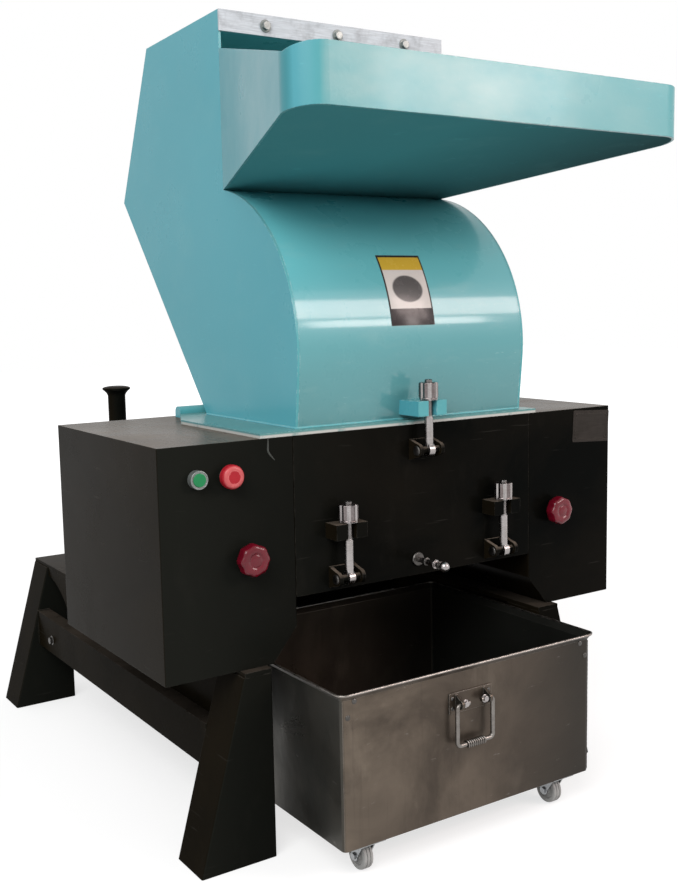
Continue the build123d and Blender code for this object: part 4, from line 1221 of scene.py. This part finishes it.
class CRUSHER_OT_casters(Operator):
    """Dress the casters, and add treads, hubs, bearing bowls, axle nuts and plate bolts"""

    bl_idname = "crusher.casters"
    bl_label = "Casters"

    def execute(self, context):
        sizes = context.scene.crusher_bin
        dress("zinc", "caster_plates")
        for place in ("left_front", "right_front", "left_rear", "right_rear"):
            dress("zinc", f"{place}_fork")
            self.wheel(place, sizes)
            self.fork(place, sizes)
        return {"FINISHED"}

    @staticmethod
    def wheel(place, sizes):
        """Wheel turned from one closed profile: bore, dished hub, rim and a twice-grooved tread."""
        box = span(f"{place}_wheel")
        half, outer = (box.high[0] - box.low[0]) / 2, (box.high[2] - box.low[2]) / 2
        sunk = outer - sizes.tread_groove
        hub = [(4.06, 1.0), (8.2, 1.0), (8.6, 0.92), (10.0, 0.55), (15.5, 0.52), (17.0, 0.86), (18.2, 0.94)]
        right = [(radius * MM, share) for radius, share in hub]
        right += [(outer - 2.4 * MM, 0.94), (outer - 0.7 * MM, 0.84), (outer, 0.62), (outer, 0.40)]
        right += [(sunk, 0.36), (sunk, 0.26), (outer, 0.22)]
        profile = np.array(right + [(radius, -share) for radius, share in reversed(right)]) * (1, half)
        tyre = Surface().turn(profile, box.centre, RIGHT, 56, along=True)
        piece = tyre.piece(f"{place}_tyre", f"{place}_roller", "wheel", "grey_plastic", 30)
        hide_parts(f"{place}_wheel")

    @staticmethod
    def fork(place, sizes):
        """Bearing bowl under the plate, axle nuts on the cheeks and four bolts through the plate."""
        axle = span(f"{place}_wheel").centre
        plate = span("caster_plates").low[2]
        x, y = span(f"{place}_fork").centre[0], axle[1] - sizes.king_offset
        profile = mm([(13, 0), (17.2, -0.4), (17.6, -1.6), (15.5, -3.2), (9, -3.4)])
        bowl = Surface().turn(profile, (x, y, plate - 0.4 * MM), UP)
        for way in SIDES:
            bowl.add(nut(axle + np.array([way * 14 * MM, 0, 0]), (way, 0, 0), 11 * MM, 3.6 * MM, 48))
        bowl.piece(f"{place}_bowl", f"{place}_swivel", "zinc", "zinc")
        bolts = Surface()
        spread = 20.5 * MM
        for sx, sy in CORNERS:
            corner = (x + sx * spread, y + sy * spread, plate)
            bolts.turn(dome(3.2 * MM, 2.0 * MM, 0.3 * MM), corner, DOWN, 20)
        bolts.piece(f"{place}_plate_bolts", "bin", "zinc", "zinc")


class CRUSHER_OT_posts(Operator):
    """Turn the rest posts with thin mushroom heads, and lay a weld round each foot"""

    bl_idname = "crusher.posts"
    bl_label = "Rest posts"

    def execute(self, context):
        sizes = context.scene.crusher_body
        box = span("rest_posts")
        head_radius, post_radius = sizes.post_head, sizes.post_radius
        tall = box.high[2] - box.low[2]
        underside = [(20.6, 21), (22.5, 17), (26.5, 12.5), (30.6, 9), (31.8, 7.6), (32, 6.4)]
        crown = [(31.4, 4.6), (28, 2.8), (20, 1.1), (10, 0.3), (0.4, 0)]
        profile = [(post_radius, 0), (post_radius, tall / 2), (post_radius, tall - 23 * MM)]
        profile += [(radius * MM, tall - drop * MM) for radius, drop in underside + crown]
        wide, corner, bead = mm((41, 20.4, 2.4))
        posts, welds = Surface(), Surface()
        for x in (box.low[0] + head_radius, box.high[0] - head_radius):
            foot = (x, box.centre[1], box.low[2])
            posts.turn(profile, foot, UP, 64)
            welds.hoop(rounded_ring((*foot[:2], foot[2] + MM), wide, wide, corner, 14), bead, UP)
        piece = posts.piece("mushroom_posts", "machine", "frame", "black_enamel", 40)
        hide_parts("rest_posts")
        welds.piece("post_welds", "machine", "frame", "black_enamel")
        return {"FINISHED"}


class CRUSHER_OT_stage(Operator):
    """Set the floor, the soft lights, the world and the camera"""

    bl_idname = "crusher.stage"
    bl_label = "Stage"

    def execute(self, context):
        stage = context.scene.crusher_stage
        self.floor(context.scene.crusher_colours, stage)
        self.world(stage)
        self.lamp("Key", (-2.9, -2.6, 3.4), (0, 0, 0.7), (3.0, 2.4), stage.key_power, (1, 1, 1))
        self.lamp("Band", (3.0, -3.6, 2.70), (3.0, 0, 2.70), (3.4, 1.0), stage.band_power, (1.0, 0.82, 0.78))
        self.lamp("Lip", (2.8, -4.0, 2.04), (2.8, 0, 2.04), (1.3, 0.34), stage.lip_power, (1.0, 0.88, 0.84))
        self.camera(context.scene, stage)
        context.scene.view_settings.view_transform = "Standard"
        return {"FINISHED"}

    @staticmethod
    def floor(hue, stage):
        """Level sheet a touch below the feet, over a square in x and y, which glows where it is seen."""
        reach, below, near, far = 14, 0.6 * MM, 1.3, 4.5
        side = np.linspace(-reach, reach, 15)
        x, y = np.meshgrid(side, side)
        sheet = Surface().add(np.stack([x, y, 0 * x - below], axis=-1), around=False, ends=False)
        paper = Finish("Floor paper", tuple(hue.backdrop), specular=0.0)
        away = paper.node("VectorMath", {0: paper.place}, "Value", operation="LENGTH")
        white = paper.spread(away, near, far, stage.floor_glow, 1.0)
        glow = paper.node("Emission", {"Strength": paper.times(white, paper.seen())})
        both = paper.node("AddShader", {0: paper.nodes["Principled BSDF"].outputs[0], 1: glow})
        paper.links.new(both, paper.nodes["Material Output"].inputs["Surface"])
        sheet.thing("Floor", paper.done(0.8))

    @staticmethod
    def world(stage):
        """White where the camera and mirror rays look, softer where it lights."""
        world = bpy.data.worlds.new("Studio")
        bpy.context.scene.world = world
        world.use_nodes = True
        tree = Tree(world.node_tree)
        back = tree.nodes["Background"].inputs
        back["Color"].default_value = (1, 1, 1, 1)
        tree.put(tree.spread(tree.seen(), 0, 1, stage.world_light, 1.0), back["Strength"])

    @staticmethod
    def lamp(name, place, aim, extent, power, hue):
        """Soft rectangular lamp that faces its aim, its long side level."""
        data = bpy.data.lights.new(name, "AREA")
        data.shape = "RECTANGLE"
        data.size, data.size_y = extent
        data.energy = power
        data.color = hue
        lamp = bpy.data.objects.new(name, data)
        bpy.context.scene.collection.objects.link(lamp)
        lamp.location = place
        lamp.rotation_euler = (Vector(aim) - Vector(place)).to_track_quat("-Z", "Y").to_euler()

    @staticmethod
    def camera(scene, stage):
        """Camera from yaw, pitch and roll: right, up and back vectors as the matrix's columns."""
        yaw, pitch, roll = stage.yaw, stage.pitch, stage.roll
        ahead = Vector((-math.sin(yaw) * math.cos(pitch), math.cos(yaw) * math.cos(pitch), math.sin(pitch)))
        level = Vector((math.cos(yaw), math.sin(yaw), 0))
        over = level.cross(ahead)
        right = level * math.cos(roll) + over * math.sin(roll)
        above = -level * math.sin(roll) + over * math.cos(roll)
        data = bpy.data.cameras.new("Camera")
        data.sensor_fit = "HORIZONTAL"
        data.sensor_width = 36
        data.lens = stage.focal
        data.shift_x, data.shift_y = stage.shift
        data.clip_end = 60
        thing = bpy.data.objects.new("Camera", data)
        scene.collection.objects.link(thing)
        turn = Matrix((right, above, -ahead)).transposed().to_4x4()
        thing.matrix_world = Matrix.Translation(Vector(stage.eye)) @ turn
        scene.camera = thing


STEPS = (
    CRUSHER_OT_base,
    CRUSHER_OT_body,
    CRUSHER_OT_hopper,
    CRUSHER_OT_tray,
    CRUSHER_OT_clamps,
    CRUSHER_OT_controls,
    CRUSHER_OT_bin,
    CRUSHER_OT_casters,
    CRUSHER_OT_posts,
    CRUSHER_OT_stage,
)


class CRUSHER_PT_panel(Panel):
    """Sizes, colours and steps of the crusher"""

    bl_idname = "CRUSHER_PT_panel"
    bl_label = "Plastic crusher"
    bl_space_type = "VIEW_3D"
    bl_region_type = "UI"
    bl_category = "Crusher"

    def draw(self, context):
        for name, group in GROUPS.items():
            box = self.layout.box()
            box.label(text=group.__doc__.strip("."))
            for key in group.__annotations__:
                box.prop(getattr(context.scene, name), key)
        for step in STEPS:
            self.layout.operator(step.bl_idname)


def register():
    """Register the groups, the operators and the panel."""
    for name, group in GROUPS.items():
        bpy.utils.register_class(group)
        setattr(bpy.types.Scene, name, PointerProperty(type=group))
    for step in STEPS:
        bpy.utils.register_class(step)
    bpy.utils.register_class(CRUSHER_PT_panel)


def unregister():
    """Take back what register did."""
    bpy.utils.unregister_class(CRUSHER_PT_panel)
    for step in reversed(STEPS):
        bpy.utils.unregister_class(step)
    for name, group in GROUPS.items():
        delattr(bpy.types.Scene, name)
        bpy.utils.unregister_class(group)


def main():
    """Register and make every piece in order."""
    register()
    for step in STEPS:
        area, action = step.bl_idname.split(".")
        getattr(getattr(bpy.ops, area), action)()


if __name__ == "__main__":
    main()
